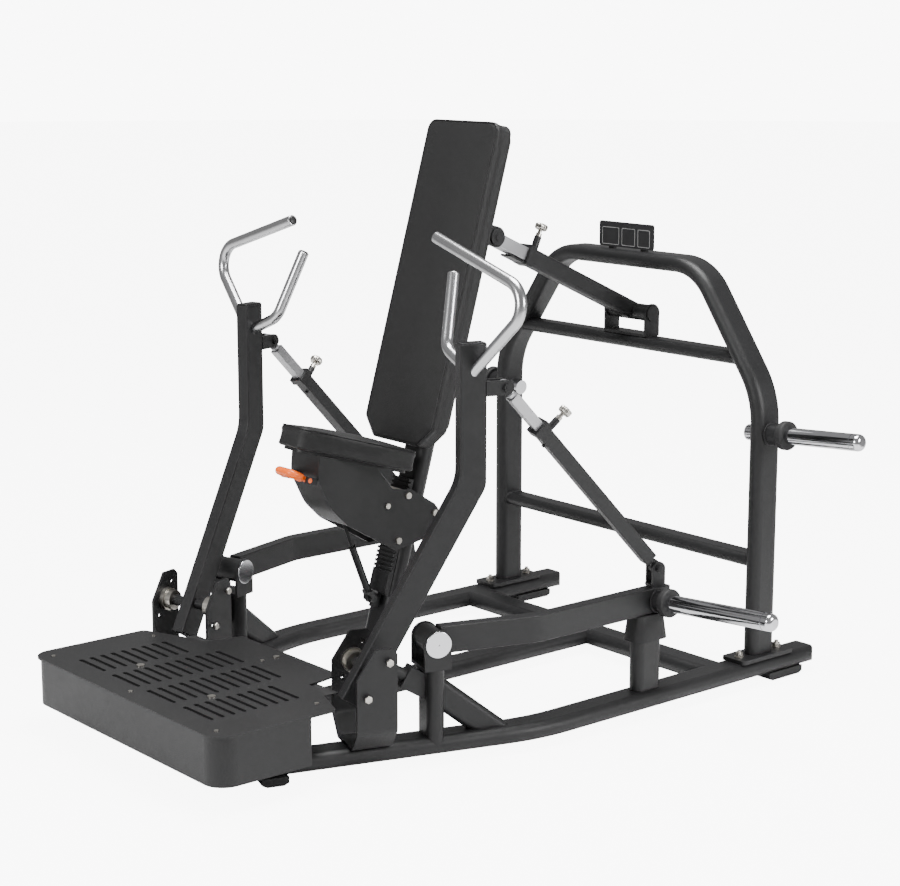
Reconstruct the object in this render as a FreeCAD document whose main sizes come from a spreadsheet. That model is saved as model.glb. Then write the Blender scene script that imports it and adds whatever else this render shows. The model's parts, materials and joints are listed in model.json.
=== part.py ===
import FreeCAD, Part
import math
import os

V = FreeCAD.Vector

# ------------------------------------------------------------------ driving dimensions (millimetres, degrees)
# The origin is on the floor under the middle of the machine. +Z is up, the user faces -Y, +X is the user's left.
DIMENSIONS = {
    # floor frame: flat-oval tubes laid flat on feet
    "oval_wide": 100, "oval_thick": 50, "foot_tall": 24, "rail_x": 568, "rail_rear_y": 1032, "rail_front_y": -862,
    "rail_bend_y": -90, "rail_bend_radius": 600, "toe_in": 18, "rear_tube_y": 653, "front_tube_y": -745,
    # rear arch and its crossbars
    "arch_y": 822, "arch_knee_z": 869, "arch_top_z": 1232, "arch_shoulder_x": 307, "arch_knee_radius": 260,
    "arch_shoulder_radius": 170, "base_plate_thick": 12, "base_plate_long": 226, "base_plate_wide": 90,
    "base_bolt_pitch": 166, "bar_wide": 80, "bar_tall": 40, "upper_bar_z": 972, "mid_bar_z": 368,
    # weight storage horns
    "horn_radius": 25, "horn_tilt": 4.2, "storage_z": 757, "storage_tip_x": 933, "storage_stub_x": 640,
    "collar_thick": 24, "collar_radius": 43, "stub_radius": 31,
    # press arm pivots, centred over the toed-in stretch of each rail
    "pivot_y": -556, "pivot_z": 274.7, "bracket_half": 104, "bracket_plate": 8, "bracket_front": 58,
    "bracket_rear": 54, "bracket_top_z": 355, "shaft_radius": 15, "running_gap": 0.05,
    "arm_tube_wide": 40, "arm_tube_deep": 75, "arm_upper_s": 301.5, "arm_top_z": 1125, "arm_lean": 31,
    "arm_offset": 14, "arm_tail": 102, "handle_radius": 16,
    # weight levers
    "hub_s": 188.4, "hub_z": 334.8, "hub_radius": 35, "ear_half": 52, "ear_plate": 8, "ear_radius": 38,
    "lever_x": 570, "lever_end_y": 412, "lever_horn_y": 365, "lever_horn_z": 330, "lever_tip_x": 1026,
    "stop_post_y": 337, "stop_post_top_z": 250,
    # links between arms and levers: bolt centres in the pivot plane
    "link_top_s": 396, "link_top_z": 1005, "link_low_y": 372, "link_low_z": 427, "bolt_radius": 6,
    "link_bar": 30, "link_sleeve": 40, "open_eye_gap": 3,
    # foot platform
    "deck_half": 470, "deck_front_y": -1060, "deck_side_y": -690, "deck_top_z": 206, "deck_thick": 6,
    "skirt_low_z": 70, "skirt_rear_y": -766, "skirt_sheet": 4, "backing_thick": 3,
    "slot_long": 135, "slot_wide": 14,
    "slot_pitch": 33.5, "slot_column": 177, "slot_front_y": -980,
    # seat post, all sizes along and across the leaning post
    "post_y": -213, "post_z": 110, "post_lean": 16.1, "post_long": 1335, "rack_wide": 76, "rack_thick": 17,
    "rack_low": 215, "rack_high": 560, "rack_pitch": 13,
    "pad_wide": 310, "pad_low": 656, "pad_high": 1600, "pad_front": -99.3, "pad_thick": 60, "board_thick": 14,
    "seat_top": 645, "seat_thick": 60, "seat_plate_thick": 8, "seat_front": -468, "seat_rear": -106,
    "seat_nose": 62, "seat_half": 140, "carriage_half": 65, "carriage_sheet": 6,
    "tilt_hub_y": 233, "tilt_hub_z": 1335, "saddle_z": 1064, "saddle_y": 828, "saddle_half": 92,
}
MATERIAL_GAP = 0.3      # clear distance between pieces that move past each other
RIGHT, LEFT = "right", "left"

doc = FreeCAD.newDocument("SeatedPress")
sheet = doc.addObject("Spreadsheet::Sheet", "Dims")
for row, (alias, value) in enumerate(DIMENSIONS.items(), start=1):
    sheet.set(f"A{row}", alias)
    sheet.set(f"B{row}", str(value))
    sheet.setAlias(f"B{row}", alias)
doc.recompute()


def cell(alias):
    """Value of one driving dimension."""
    return float(sheet.get(alias))


PARTS = []              # objects that are written out, in order
TOE = math.radians(cell("toe_in"))
LEAN = math.radians(cell("post_lean"))
OVAL_W, OVAL_T = cell("oval_wide"), cell("oval_thick")
RAIL_TOP = cell("foot_tall") + OVAL_T
RAIL_Z = cell("foot_tall") + OVAL_T / 2
PIVOT_X = cell("rail_x") - (cell("rail_bend_y") - cell("pivot_y")) * math.tan(TOE)
# Pivot frame: local X runs outboard along the pivot axis, local Y runs back along the toed-in rail, Z is up.
PIVOT_FRAME = FreeCAD.Placement(V(PIVOT_X, cell("pivot_y"), 0), FreeCAD.Rotation(V(0, 0, 1), -cell("toe_in")))
# Post frame: origin on the post's floor pivot, local Z along the leaning post, local Y to the rear.
POST_TURN = FreeCAD.Rotation(V(1, 0, 0), -cell("post_lean"))
POST_FRAME = FreeCAD.Placement(V(0, cell("post_y"), cell("post_z")), POST_TURN)


# ------------------------------------------------------------------ helpers
def keep(obj, label, placement=None):
    """Name a finished sub-part, place it and put it on the list of pieces."""
    obj.Label = label
    if placement is not None:
        obj.Placement = placement
    PARTS.append(obj)
    return obj


def placed(x=0.0, y=0.0, z=0.0, axis=(0, 0, 1), angle=0.0):
    """Placement from a position and one rotation."""
    return FreeCAD.Placement(V(x, y, z), FreeCAD.Rotation(V(*axis), angle))


def shape_part(name, shape):
    """A Part::Feature around a shape made with Part functions."""
    obj = doc.addObject("Part::Feature", name)
    obj.Shape = shape
    return obj


def combine(kind, name, objects):
    """Boolean object: the fuse of all, or the first cut by the second."""
    obj = doc.addObject(kind, name)
    if kind == "Part::MultiFuse":
        obj.Shapes = objects
    else:
        obj.Base, obj.Tool = objects
    return obj


def mirrored(source, label):
    """The same piece on the other side of the machine."""
    obj = doc.addObject("Part::Mirroring", label)
    obj.Source, obj.Base, obj.Normal = source, V(0, 0, 0), V(1, 0, 0)
    return keep(obj, label)


def both_sides(obj, stem, placement=None):
    """Keep a right-hand piece and its mirror image."""
    keep(obj, f"{stem}_{RIGHT}", placement)
    return obj, mirrored(obj, f"{stem}_{LEFT}")


def plane_of(body, role):
    """Origin plane of a body, found by its role."""
    return next(f for f in body.Origin.OriginFeatures if f.Role == role)


def outline(points, closed=True):
    """Edges through points; a point (x, y, r) rounds that corner with radius r."""
    count = len(points)
    corners = []
    for i, point in enumerate(points):
        here = V(point[0], point[1], 0)
        radius = point[2] if len(point) > 2 else 0
        if not radius or (not closed and i in (0, count - 1)):
            corners.append((here, None, here))
            continue
        before = (V(*points[i - 1][:2], 0) - here).normalize()
        after = (V(*points[(i + 1) % count][:2], 0) - here).normalize()
        half = before.getAngle(after) / 2
        reach = radius / math.tan(half)
        middle = here + (before + after).normalize() * (radius / math.sin(half) - radius)
        corners.append((here + before * reach, middle, here + after * reach))
    edges = []
    for i, (start, middle, end) in enumerate(corners):
        if middle is not None:
            edges.append(Part.Arc(start, middle, end))
        following = corners[(i + 1) % count][0]
        if (closed or i < count - 1) and end.distanceToPoint(following) > 1e-6:
            edges.append(Part.LineSegment(end, following))
    return edges


def sketched(body, role, points, name="Profile"):
    """Closed sketch of an outline on one of the body's origin planes."""
    sketch = body.newObject("Sketcher::SketchObject", name)
    sketch.AttachmentSupport = (plane_of(body, role), [""])
    sketch.MapMode = "FlatFace"
    sketch.addGeometry(outline(points), False)
    return sketch


def padded(label, role, points, length, midplane=False, rounding=None, offset=0.0):
    """PartDesign body: an outline padded by a sheet expression, with its pad-direction edges rounded."""
    body = doc.addObject("PartDesign::Body", label)
    sketch = sketched(body, role, points)
    if offset:
        sketch.AttachmentOffset = FreeCAD.Placement(V(0, 0, offset), FreeCAD.Rotation())
    pad = body.newObject("PartDesign::Pad", "Pad")
    pad.Profile = sketch
    pad.setExpression("Length", length)
    pad.Midplane = midplane
    body.Tip = pad
    doc.recompute()
    if rounding:
        edges = [f"Edge{i + 1}" for i, e in enumerate(pad.Shape.Edges) if edge_on_face_border(e, role)]
        fillet = body.newObject("PartDesign::Fillet", "Rounding")
        fillet.Base = (pad, edges)
        fillet.setExpression("Radius", rounding)
        body.Tip = fillet
        doc.recompute()
    return body


def edge_on_face_border(edge, role):
    """True for an edge that lies in an end face of a pad from the named plane."""
    axis = {"XY_Plane": 2, "XZ_Plane": 1, "YZ_Plane": 0}[role]
    return edge.BoundBox.DiagonalLength > 1 and (edge.BoundBox.XLength, edge.BoundBox.YLength,
                                                edge.BoundBox.ZLength)[axis] < 0.01


def pocketed(body, role, outlines, expected=True):
    """Cut outlines right through a body and check that material went."""
    before = body.Shape.Volume
    for points in outlines:
        sketch = sketched(body, role, points, "Cutout")
        pocket = body.newObject("PartDesign::Pocket", "Pocket")
        pocket.Profile, pocket.Type, pocket.Midplane = sketch, "ThroughAll", True
        body.Tip = pocket
    doc.recompute()
    if expected and body.Shape.Volume > before - 1:
        raise RuntimeError(f"{body.Label}: a pocket cut nothing")
    return body


def stadium(wide, thick):
    """Outline of a flat-oval tube: straight flats and half-round ends, wide along the first axis."""
    a, b = wide / 2, thick / 2
    return [(-a, -b, b), (a, -b, b), (a, b, b), (-a, b, b)]


def rectangle(wide, deep, radius):
    """Outline of a rectangle with rounded corners, centred on the origin."""
    a, b = wide / 2, deep / 2
    return [(-a, -b, radius), (a, -b, radius), (a, b, radius), (-a, b, radius)]


def path_wire(points, radii):
    """Wire of straight runs through 3-D points with an arc of the given radius at each inner point."""
    edges, start = [], V(*points[0])
    for i in range(1, len(points) - 1):
        here, radius = V(*points[i]), radii[i - 1]
        before = (V(*points[i - 1]) - here).normalize()
        after = (V(*points[i + 1]) - here).normalize()
        half = before.getAngle(after) / 2
        first, last = here + before * (radius / math.tan(half)), here + after * (radius / math.tan(half))
        middle = here + (before + after).normalize() * (radius / math.sin(half) - radius)
        edges += [Part.LineSegment(start, first).toShape(), Part.Arc(first, middle, last).toShape()]
        start = last
    edges.append(Part.LineSegment(start, V(*points[-1])).toShape())
    return Part.Wire(edges)


def section_wire(points):
    """Closed wire of an outline in the XY plane."""
    return Part.Wire([e.toShape() for e in outline(points)])


def swept(points, radii, section, wide_axis):
    """Solid tube: a section swept along a bent path, its wide side kept along wide_axis at the start."""
    along = (V(*points[1]) - V(*points[0])).normalize()
    wide = V(*wide_axis)
    thick = along.cross(wide).normalize()
    turn = FreeCAD.Rotation(wide, thick, along, "ZXY")
    profile = section.copy()
    profile.Placement = FreeCAD.Placement(V(*points[0]), turn)
    if len(points) == 2:
        return Part.Face(profile).extrude(V(*points[1]) - V(*points[0]))
    path = path_wire(points, radii)
    return path.makePipeShell([profile], True, False, 1)


def round_bar(start, end, radius):
    """Solid cylinder between two points."""
    a, b = V(*start), V(*end)
    return Part.makeCylinder(radius, (b - a).Length, a, b - a)


def square_bar(start, end, side, wide_axis, rounding=2.0):
    """Solid square bar between two points with its long edges rounded."""
    half = side / 2
    section = section_wire([(-half, -half, rounding), (half, -half, rounding), (half, half, rounding),
                            (-half, half, rounding)])
    return swept([start, end], [], section, wide_axis)


def in_frame(frame, x, y, z):
    """Point given in a local frame, as a tuple in the machine's frame."""
    return tuple(frame.multVec(V(x, y, z)))


def pivot_s(x, y):
    """Distance of a point back along the pivot plane and outboard along the pivot axis."""
    local = PIVOT_FRAME.inverse().multVec(V(x, y, 0))
    return local.y, local.x


OVAL = section_wire(stadium(OVAL_W, OVAL_T))
BAR = section_wire(stadium(cell("bar_wide"), cell("bar_tall")))


# ------------------------------------------------------------------ floor frame
def floor_frame():
    """Two toed-in rails, the spine between them and two cross tubes, all flat-oval tube."""
    front_x = cell("rail_x") - (cell("rail_bend_y") - cell("rail_front_y")) * math.tan(TOE)
    route = [(cell("rail_x"), cell("rail_rear_y"), RAIL_Z), (cell("rail_x"), cell("rail_bend_y"), RAIL_Z),
             (front_x, cell("rail_front_y"), RAIL_Z)]
    rail_shape = swept(route, [cell("rail_bend_radius")], OVAL, (1, 0, 0))
    # the rear end is rounded off in plan like the tube's own side
    end_round = Part.makeBox(OVAL_W + 2, OVAL_W, OVAL_T + 2, V(cell("rail_x") - OVAL_W / 2 - 1,
                             cell("rail_rear_y") - OVAL_T, cell("foot_tall") - 1))
    keep_round = Part.makeBox(OVAL_W, OVAL_T, OVAL_T + 4, V(cell("rail_x") - OVAL_W / 2,
                              cell("rail_rear_y") - OVAL_T, cell("foot_tall") - 2))
    corner_edges = [e for e in keep_round.Edges if e.BoundBox.ZLength > OVAL_T and e.BoundBox.YMax >
                    cell("rail_rear_y") - 1]
    rail_shape = rail_shape.cut(end_round.cut(keep_round.makeFillet(OVAL_T / 2, corner_edges)))
    rail, rail_left = both_sides(shape_part("Rail", rail_shape), "base_rail")
    reach = cell("rail_x")
    rear = swept([(-reach, cell("rear_tube_y"), RAIL_Z), (reach, cell("rear_tube_y"), RAIL_Z)], [], OVAL, (0, 1, 0))
    front_reach = cell("rail_x") - (cell("rail_bend_y") - cell("front_tube_y")) * math.tan(TOE)
    front = swept([(-front_reach, cell("front_tube_y"), RAIL_Z), (front_reach, cell("front_tube_y"), RAIL_Z)], [],
                  OVAL, (0, 1, 0))
    spine = swept([(0, cell("front_tube_y"), RAIL_Z), (0, cell("rear_tube_y"), RAIL_Z)], [], OVAL, (1, 0, 0))
    doc.recompute()
    rails = rail.Shape.fuse(rail_left.Shape)
    # tube ends are coped to the flank of the tube that they are welded to
    rear, front = rear.cut(rails), front.cut(rails)
    spine = spine.cut(rear).cut(front)
    keep(shape_part("RearTube", largest(rear)), "rear_cross_tube")
    keep(shape_part("FrontTube", largest(front)), "front_cross_tube")
    keep(shape_part("Spine", largest(spine)), "spine_tube")


def largest(shape):
    """Biggest solid of a shape."""
    return max(shape.Solids, key=lambda s: s.Volume)


def feet():
    """Four rubber feet, in one piece file: blocks with bevelled ends under both ends of each rail."""
    blocks = []
    for x, y, long, wide, turn in ((cell("rail_x"), 905, 147, 84, 0),
                                   (cell("rail_x") - (cell("rail_bend_y") + 806) * math.tan(TOE), -806, 74, 92, -18)):
        tall = cell("foot_tall")
        side = [(-long / 2, 7), (-long / 2 + 14, 0), (long / 2 - 14, 0), (long / 2, 7), (long / 2, tall),
                (-long / 2, tall)]
        face = Part.Face(section_wire(side))
        block = face.extrude(V(0, 0, wide))
        # stand the profile up: its first axis runs along the rail and its second axis is up
        stand = FreeCAD.Placement(V(x, y, 0), FreeCAD.Rotation(V(0, 0, 1), turn)).multiply(
            FreeCAD.Placement(V(-wide / 2, 0, 0), FreeCAD.Rotation(V(1, 1, 1), 120)))
        block.Placement = stand
        blocks += [block, block.mirror(V(0, 0, 0), V(1, 0, 0))]
    keep(shape_part("Feet", Part.makeCompound(blocks)), "rubber_feet")


# ------------------------------------------------------------------ rear arch
def rear_arch():
    """Arch of one bent flat-oval tube with horn stubs, two crossbars, base plates and bolts."""
    foot_z = RAIL_TOP + cell("base_plate_thick")
    x, y = cell("rail_x"), cell("arch_y")
    knee, top, shoulder = cell("arch_knee_z"), cell("arch_top_z"), cell("arch_shoulder_x")
    route = [(x, y, foot_z), (x, y, knee), (shoulder, y, top), (-shoulder, y, top), (-x, y, knee), (-x, y, foot_z)]
    radii = [cell("arch_knee_radius"), cell("arch_shoulder_radius")]
    arch = swept(route, radii + radii[::-1], OVAL, (0, 1, 0))
    holes = []
    for sign in (1, -1):
        stub = round_bar(horn_point(sign, x), horn_point(sign, cell("storage_stub_x")), cell("stub_radius"))
        arch = arch.fuse(stub)
        holes.append(round_bar(horn_point(sign, x - 80), horn_point(sign, x + 120), cell("horn_radius") - 0.85))
    arch = arch.cut(holes)
    keep(shape_part("Arch", largest(arch)), "rear_arch")
    for label, z in (("upper_crossbar", cell("upper_bar_z")), ("mid_crossbar", cell("mid_bar_z"))):
        bar = swept([(-x, y + 6, z), (x, y + 6, z)], [], BAR, (0, 1, 0)).cut(arch)
        keep(shape_part("Crossbar", middle_solid(bar)), label)
    plates = []
    long, wide, thick = cell("base_plate_long"), cell("base_plate_wide"), cell("base_plate_thick")
    for sign in (1, -1):
        plate = Part.Face(section_wire([(-wide / 2, -long / 2, 12), (wide / 2, -long / 2, 12), (wide / 2, long / 2, 12),
                                        (-wide / 2, long / 2, 12)])).extrude(V(0, 0, thick - 0.02))
        plate.translate(V(sign * x, y, RAIL_TOP + 0.01))
        for end in (1, -1):
            hole_y = y + end * cell("base_bolt_pitch") / 2
            plate = plate.cut(Part.makeCylinder(8, 40, V(sign * x, hole_y, RAIL_TOP - 9)))
        plates.append(plate)
    keep(shape_part("BasePlates", Part.makeCompound(plates)), "arch_base_plates")


def middle_solid(shape):
    """The solid that crosses the middle plane."""
    return next(s for s in shape.Solids if s.BoundBox.XMin < 0 < s.BoundBox.XMax)


def horn_point(sign, x, y=None):
    """Point on the axis of a storage horn, which rises outboard."""
    rise = (x - cell("rail_x")) * math.tan(math.radians(cell("horn_tilt")))
    return (sign * x, cell("arch_y") if y is None else y, cell("storage_z") + rise)


def horn_solid(root, start, end, radius):
    """Horn bar with a thinner journal in its stub and collar, a domed tip and a groove before the tip."""
    a, b = V(*start), V(*end)
    axis = (b - a).normalize()
    bar = round_bar(start, end, radius)
    tip = [e for e in bar.Edges if e.BoundBox.Center.distanceToPoint(b) < 1e-3]
    bar = bar.makeFillet(radius * 0.6, tip)
    at = b - axis * 34
    ring = Part.makeCylinder(radius + 2, 3, at, axis).cut(Part.makeCylinder(radius - 1.5, 3, at, axis))
    return joined(bar.cut(ring), round_bar(root, tuple(a + axis * 5), radius - 1))


def collar_solid(start, end, radius, bore):
    """Rubber collar with rounded rims round a horn."""
    ring = round_bar(start, end, radius)
    rims = [e for e in ring.Edges if e.Curve.TypeId == "Part::GeomCircle" and e.Curve.Radius > radius - 1]
    ring = ring.makeFillet(5, rims)
    a, b = V(*start), V(*end)
    reach = (b - a).normalize() * 5
    return ring.cut(round_bar(tuple(a - reach), tuple(b + reach), bore))


def storage_horns():
    """Chrome weight storage horns through the uprights, with rubber collars."""
    horns, collars = [], []
    stub, thick = cell("storage_stub_x"), cell("collar_thick")
    for sign in (1, -1):
        horns.append(horn_solid(horn_point(sign, cell("rail_x") - 60), horn_point(sign, stub + thick + 0.5),
                                horn_point(sign, cell("storage_tip_x")), cell("horn_radius")))
        collars.append(collar_solid(horn_point(sign, stub + 0.2), horn_point(sign, stub + thick), cell("collar_radius"),
                                    cell("horn_radius") - 0.85))
    keep(shape_part("StorageHorns", Part.makeCompound(horns)), "storage_horns")
    keep(shape_part("StorageCollars", Part.makeCompound(collars)), "storage_collars")


def placard():
    """Instruction plate on two small standoffs on top of the arch."""
    body = padded("PlacardPlate", "XZ_Plane",
                  [(-118, 1263, 8), (118, 1263, 8), (118, 1341, 8), (-118, 1341, 8)], "6",
                  offset=-803)
    legs = []
    for x in (-70, 70):
        leg = doc.addObject("Part::Box", "Standoff")
        leg.Length, leg.Width, leg.Height = 22, 12, 30
        top = cell("arch_top_z") + OVAL_T / 2
        leg.Placement = placed(x - 11, body.Shape.BoundBox.YMax - 0.01, top + 0.02)
        legs.append(leg)
    keep(combine("Part::MultiFuse", "Placard", [body] + legs), "placard")


# ------------------------------------------------------------------ pivot brackets and lever posts
def arm_brackets():
    """U-shaped plate brackets over the rails, with slanted lower flanks, and two flange bearings each."""
    half, plate = cell("bracket_half"), cell("bracket_plate")
    low, knee, top = RAIL_TOP + 0.1, RAIL_TOP + 56, cell("bracket_top_z")
    foot = 58
    outer = [(-half, top), (-half, knee, 30), (-foot, low, 12), (foot, low, 12), (half, knee, 30), (half, top)]
    inner = [(half - plate, top), (half - plate, knee + 3, 22), (foot - 3, low + plate, 4),
             (-foot + 3, low + plate, 4), (-half + plate, knee + 3, 22), (-half + plate, top)]
    body = padded("ArmBracket", "XZ_Plane", outer + inner, "Dims.bracket_front + Dims.bracket_rear",
                  offset=-cell("bracket_rear"))
    # sloping front corner and rounded rear corner of both plates
    front, rear = -cell("bracket_front"), cell("bracket_rear")
    front_cut = [(front - 5, top + 5), (front - 5, 278), (front, 278), (front + 51, top), (front + 51, top + 5)]
    rear_cut = [(rear + 5, top + 5), (rear - 13, top + 5), (rear - 13, top), (rear, top - 14),
                (rear + 5, top - 14)]
    pocketed(body, "YZ_Plane", [front_cut, rear_cut])
    bolts = [(29, cell("pivot_z") + 46.3), (-31, cell("pivot_z") - 45.2)]
    holes = [[(y - 6.4, z - 6.4, 6.3), (y + 6.4, z - 6.4, 6.3), (y + 6.4, z + 6.4, 6.3), (y - 6.4, z + 6.4, 6.3)]
             for y, z in bolts]
    pocketed(body, "YZ_Plane", holes)
    both_sides(body, "arm_bracket", PIVOT_FRAME)
    units = []
    for sign in (1, -1):
        face = sign * (half - plate - 0.05)
        z = cell("pivot_z")
        flange = Part.makeCylinder(34, 14, V(face, 0, z), V(-sign, 0, 0))
        for y, bolt_z in bolts:
            lug = Part.makeCylinder(15, 14, V(face, y, bolt_z), V(-sign, 0, 0))
            flange = flange.fuse(lug)
        boss = Part.makeCylinder(29, 34, V(face, 0, z), V(-sign, 0, 0))
        unit = flange.fuse(boss)
        for y, bolt_z in bolts:
            stem = Part.makeCylinder(6, 46, V(face + sign * 12, y, bolt_z), V(-sign, 0, 0))
            head = Part.makeCylinder(10, 8, V(face + sign * (plate + 0.2), y, bolt_z), V(sign, 0, 0))
            nut = Part.makeCylinder(10.5, 10, V(face - sign * 13, y, bolt_z), V(-sign, 0, 0))
            unit = joined(unit, stem, head, nut)
        bore_radius = cell("shaft_radius") + cell("running_gap")
        bore = Part.makeCylinder(bore_radius, 80, V(face + sign * 2, 0, z), V(-sign, 0, 0))
        units.append(largest(unit.cut(bore)))
    both_sides(shape_part("ArmBearings", Part.makeCompound(units)), "arm_bearings", PIVOT_FRAME)


def lever_posts():
    """Posts that carry the weight levers: flat-oval post, rear brace and stop stub, saddle with two ears, pin."""
    hub_s, hub_z, seat_z = cell("hub_s"), cell("hub_z"), cell("hub_z") - 73
    post = swept([(0, hub_s, RAIL_Z), (0, hub_s, seat_z)], [], OVAL, (1, 0, 0))
    thin = section_wire(stadium(OVAL_W * 0.76, OVAL_T * 0.8))
    brace = swept([(0, hub_s - 10, 212), (0, hub_s + 240, 12)], [], thin, (0, 0.62, 0.78))
    stub_dir = V(0, -math.cos(math.radians(cell("arm_lean"))), math.sin(math.radians(cell("arm_lean"))))
    stub_start = V(0, hub_s, 198)
    stub_section = section_wire([(-20, -32, 3), (20, -32, 3), (20, 32, 3), (-20, 32, 3)])
    stub = swept([tuple(stub_start), tuple(stub_start + stub_dir * 92)], [], stub_section, (1, 0, 0))
    rail_cut = Part.makeBox(400, 900, 200, V(-200, -300, -200 + RAIL_TOP))
    post = joined(post, brace.cut(rail_cut), stub)
    rail = next(p for p in PARTS if p.Label == "base_rail_right")
    rail_local = rail.Shape.copy()
    rail_local.Placement = PIVOT_FRAME.inverse().multiply(rail_local.Placement)
    post = largest(post.cut(rail_local))
    both_sides(shape_part("LeverPost", post), "lever_post", PIVOT_FRAME)
    # rubber buffer on the stub, against the back of the press arm
    buffer_at = stub_start + stub_dir * 92.2
    arm_back = arm_rear_distance(buffer_at, stub_dir)
    buffer_block = Part.makeCylinder(17, arm_back - MATERIAL_GAP, buffer_at, stub_dir)
    buffer_block.Placement = PIVOT_FRAME
    stops = [buffer_block, buffer_block.mirror(V(0, 0, 0), V(1, 0, 0))]
    # saddle: base plate and two ears with round tops, bored for the pin
    half, plate, radius = cell("ear_half"), cell("ear_plate"), cell("ear_radius")
    body = doc.addObject("PartDesign::Body", "LeverSaddle")
    side = sketched(body, "YZ_Plane", [(hub_s - radius, seat_z + 0.1), (hub_s + radius, seat_z + 0.1),
                                       (hub_s + radius, hub_z + radius, radius), (hub_s - radius, hub_z + radius, radius)])
    pad = body.newObject("PartDesign::Pad", "Ears")
    pad.Profile, pad.Midplane = side, True
    pad.setExpression("Length", "2 * Dims.ear_half")
    body.Tip = pad
    doc.recompute()
    gap = half - plate
    pocketed(body, "XZ_Plane", [[(-gap, seat_z + 10), (gap, seat_z + 10), (gap, hub_z + radius + 5),
                                 (-gap, hub_z + radius + 5)]])
    r = cell("shaft_radius") + 0.15
    pocketed(body, "YZ_Plane", [[(hub_s - r, hub_z - r, r * 0.999), (hub_s + r, hub_z - r, r * 0.999),
                                 (hub_s + r, hub_z + r, r * 0.999), (hub_s - r, hub_z + r, r * 0.999)]])
    both_sides(body, "lever_saddle", PIVOT_FRAME)
    pin = Part.makeCylinder(cell("shaft_radius"), 2 * half + 1, V(-half - 0.5, hub_s, hub_z), V(1, 0, 0))
    for sign in (1, -1):
        disc = Part.makeCylinder(radius - 1.5, 5, V(sign * (half + 0.2), hub_s, hub_z), V(sign, 0, 0))
        rim = [e for e in disc.Edges if abs(e.BoundBox.Center.x) > half + 4]
        pin = pin.fuse(disc.makeFillet(2, rim))
        pin = pin.cut(Part.makeCylinder(3, 3, V(sign * (half + 3.2), hub_s, hub_z), V(sign, 0, 0)))
    both_sides(shape_part("LeverPin", largest(pin)), "lever_pin", PIVOT_FRAME)
    # posts and trapezoid rubber stops that the levers rest on
    y, top = cell("stop_post_y"), cell("stop_post_top_z")
    posts = []
    for sign in (1, -1):
        x = sign * cell("rail_x")
        posts.append(swept([(x, y, RAIL_TOP + 0.05), (x, y, top)], [], OVAL, (0, 1, 0)))
        rest = cell("hub_z") - cell("arm_tube_deep") / 2 - MATERIAL_GAP
        low = section_wire(rectangle(84, 124, 30))
        high = section_wire(rectangle(64, 102, 20))
        low.translate(V(x, y, top - 26))
        high.translate(V(x, y, rest))
        cap = Part.makeLoft([low, high], True)
        stops.append(cap.cut(swept([(x, y, top - 40), (x, y, top + 0.05)], [], OVAL, (0, 1, 0))))
    keep(shape_part("StopPosts", Part.makeCompound(posts)), "stop_posts")
    keep(shape_part("RubberStops", Part.makeCompound(stops)), "rubber_stops")


# ------------------------------------------------------------------ foot platform
def platform():
    """Sheet skirt, slotted deck plate and the ribs that carry it."""
    half, front, rear = cell("deck_half") - 5, cell("deck_front_y") + 5, cell("skirt_rear_y")
    sheet_t = cell("skirt_sheet")
    outer = [(-half, rear), (-half, front, 60), (half, front, 60), (half, rear)]
    inner = [(half - sheet_t, rear), (half - sheet_t, front + sheet_t, 56), (-half + sheet_t, front + sheet_t, 56),
             (-half + sheet_t, rear)]
    low, high = cell("skirt_low_z"), cell("deck_top_z") - cell("deck_thick")
    body = padded("Skirt", "XY_Plane", outer + inner, f"{high - 0.1} - Dims.skirt_low_z", offset=low)
    keep(body, "platform_skirt")
    deck, tongue = deck_outlines()
    plate = padded("Deck", "XY_Plane", deck, "Dims.deck_thick", offset=high)
    slots = []
    long, wide, pitch = cell("slot_long"), cell("slot_wide"), cell("slot_pitch")
    for column, count in ((-1.5, 9), (-0.5, 12), (0.5, 12), (1.5, 9)):
        x = column * cell("slot_column")
        for k in range(count):
            y = cell("slot_front_y") + k * pitch
            r = wide / 2 * 0.999
            slots.append([(x - long / 2, y - wide / 2, r), (x + long / 2, y - wide / 2, r),
                          (x + long / 2, y + wide / 2, r), (x - long / 2, y + wide / 2, r)])
    cutter_sketch = body_sketch_many(plate, "XY_Plane", slots)
    pocket = plate.newObject("PartDesign::Pocket", "Slots")
    pocket.Profile, pocket.Type, pocket.Midplane = cutter_sketch, "ThroughAll", True
    before = plate.Shape.Volume
    plate.Tip = pocket
    doc.recompute()
    if plate.Shape.Volume > before - 1000:
        raise RuntimeError("the deck slots cut nothing")
    behind = padded("DeckTongue", "XY_Plane", tongue, "Dims.deck_thick", offset=high)
    keep(gathered("DeckPlates", [plate, behind]), "deck_plate")
    # four ribs stand on the floor tubes and carry a sheet that lies under the slots
    base, top = RAIL_TOP + 0.1, high - cell("backing_thick") - 0.15
    ribs = []
    for x, y, wide, deep in ((-300, -1000, 600, 10), (-215, -640, 430, 10), (-205, -989.9, 10, 349.8),
                             (195, -989.9, 10, 349.8)):
        ribs.append(block("Rib", x, y, base, wide, deep, top - base))
    backing = block("Backing", -345, -1000, top + 0.05, 690, 410, cell("backing_thick"))
    keep(gathered("Ribs", ribs + [backing]), "platform_ribs")


def block(name, x, y, z, wide, deep, tall):
    """A box from its lowest corner and its sizes."""
    box = doc.addObject("Part::Box", name)
    box.Length, box.Width, box.Height = wide, deep, tall
    box.Placement = placed(x, y, z)
    return box


def gathered(name, objects):
    """One sub-part of several solids that lie side by side."""
    group = doc.addObject("Part::Compound", name)
    group.Links = objects
    return group


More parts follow.
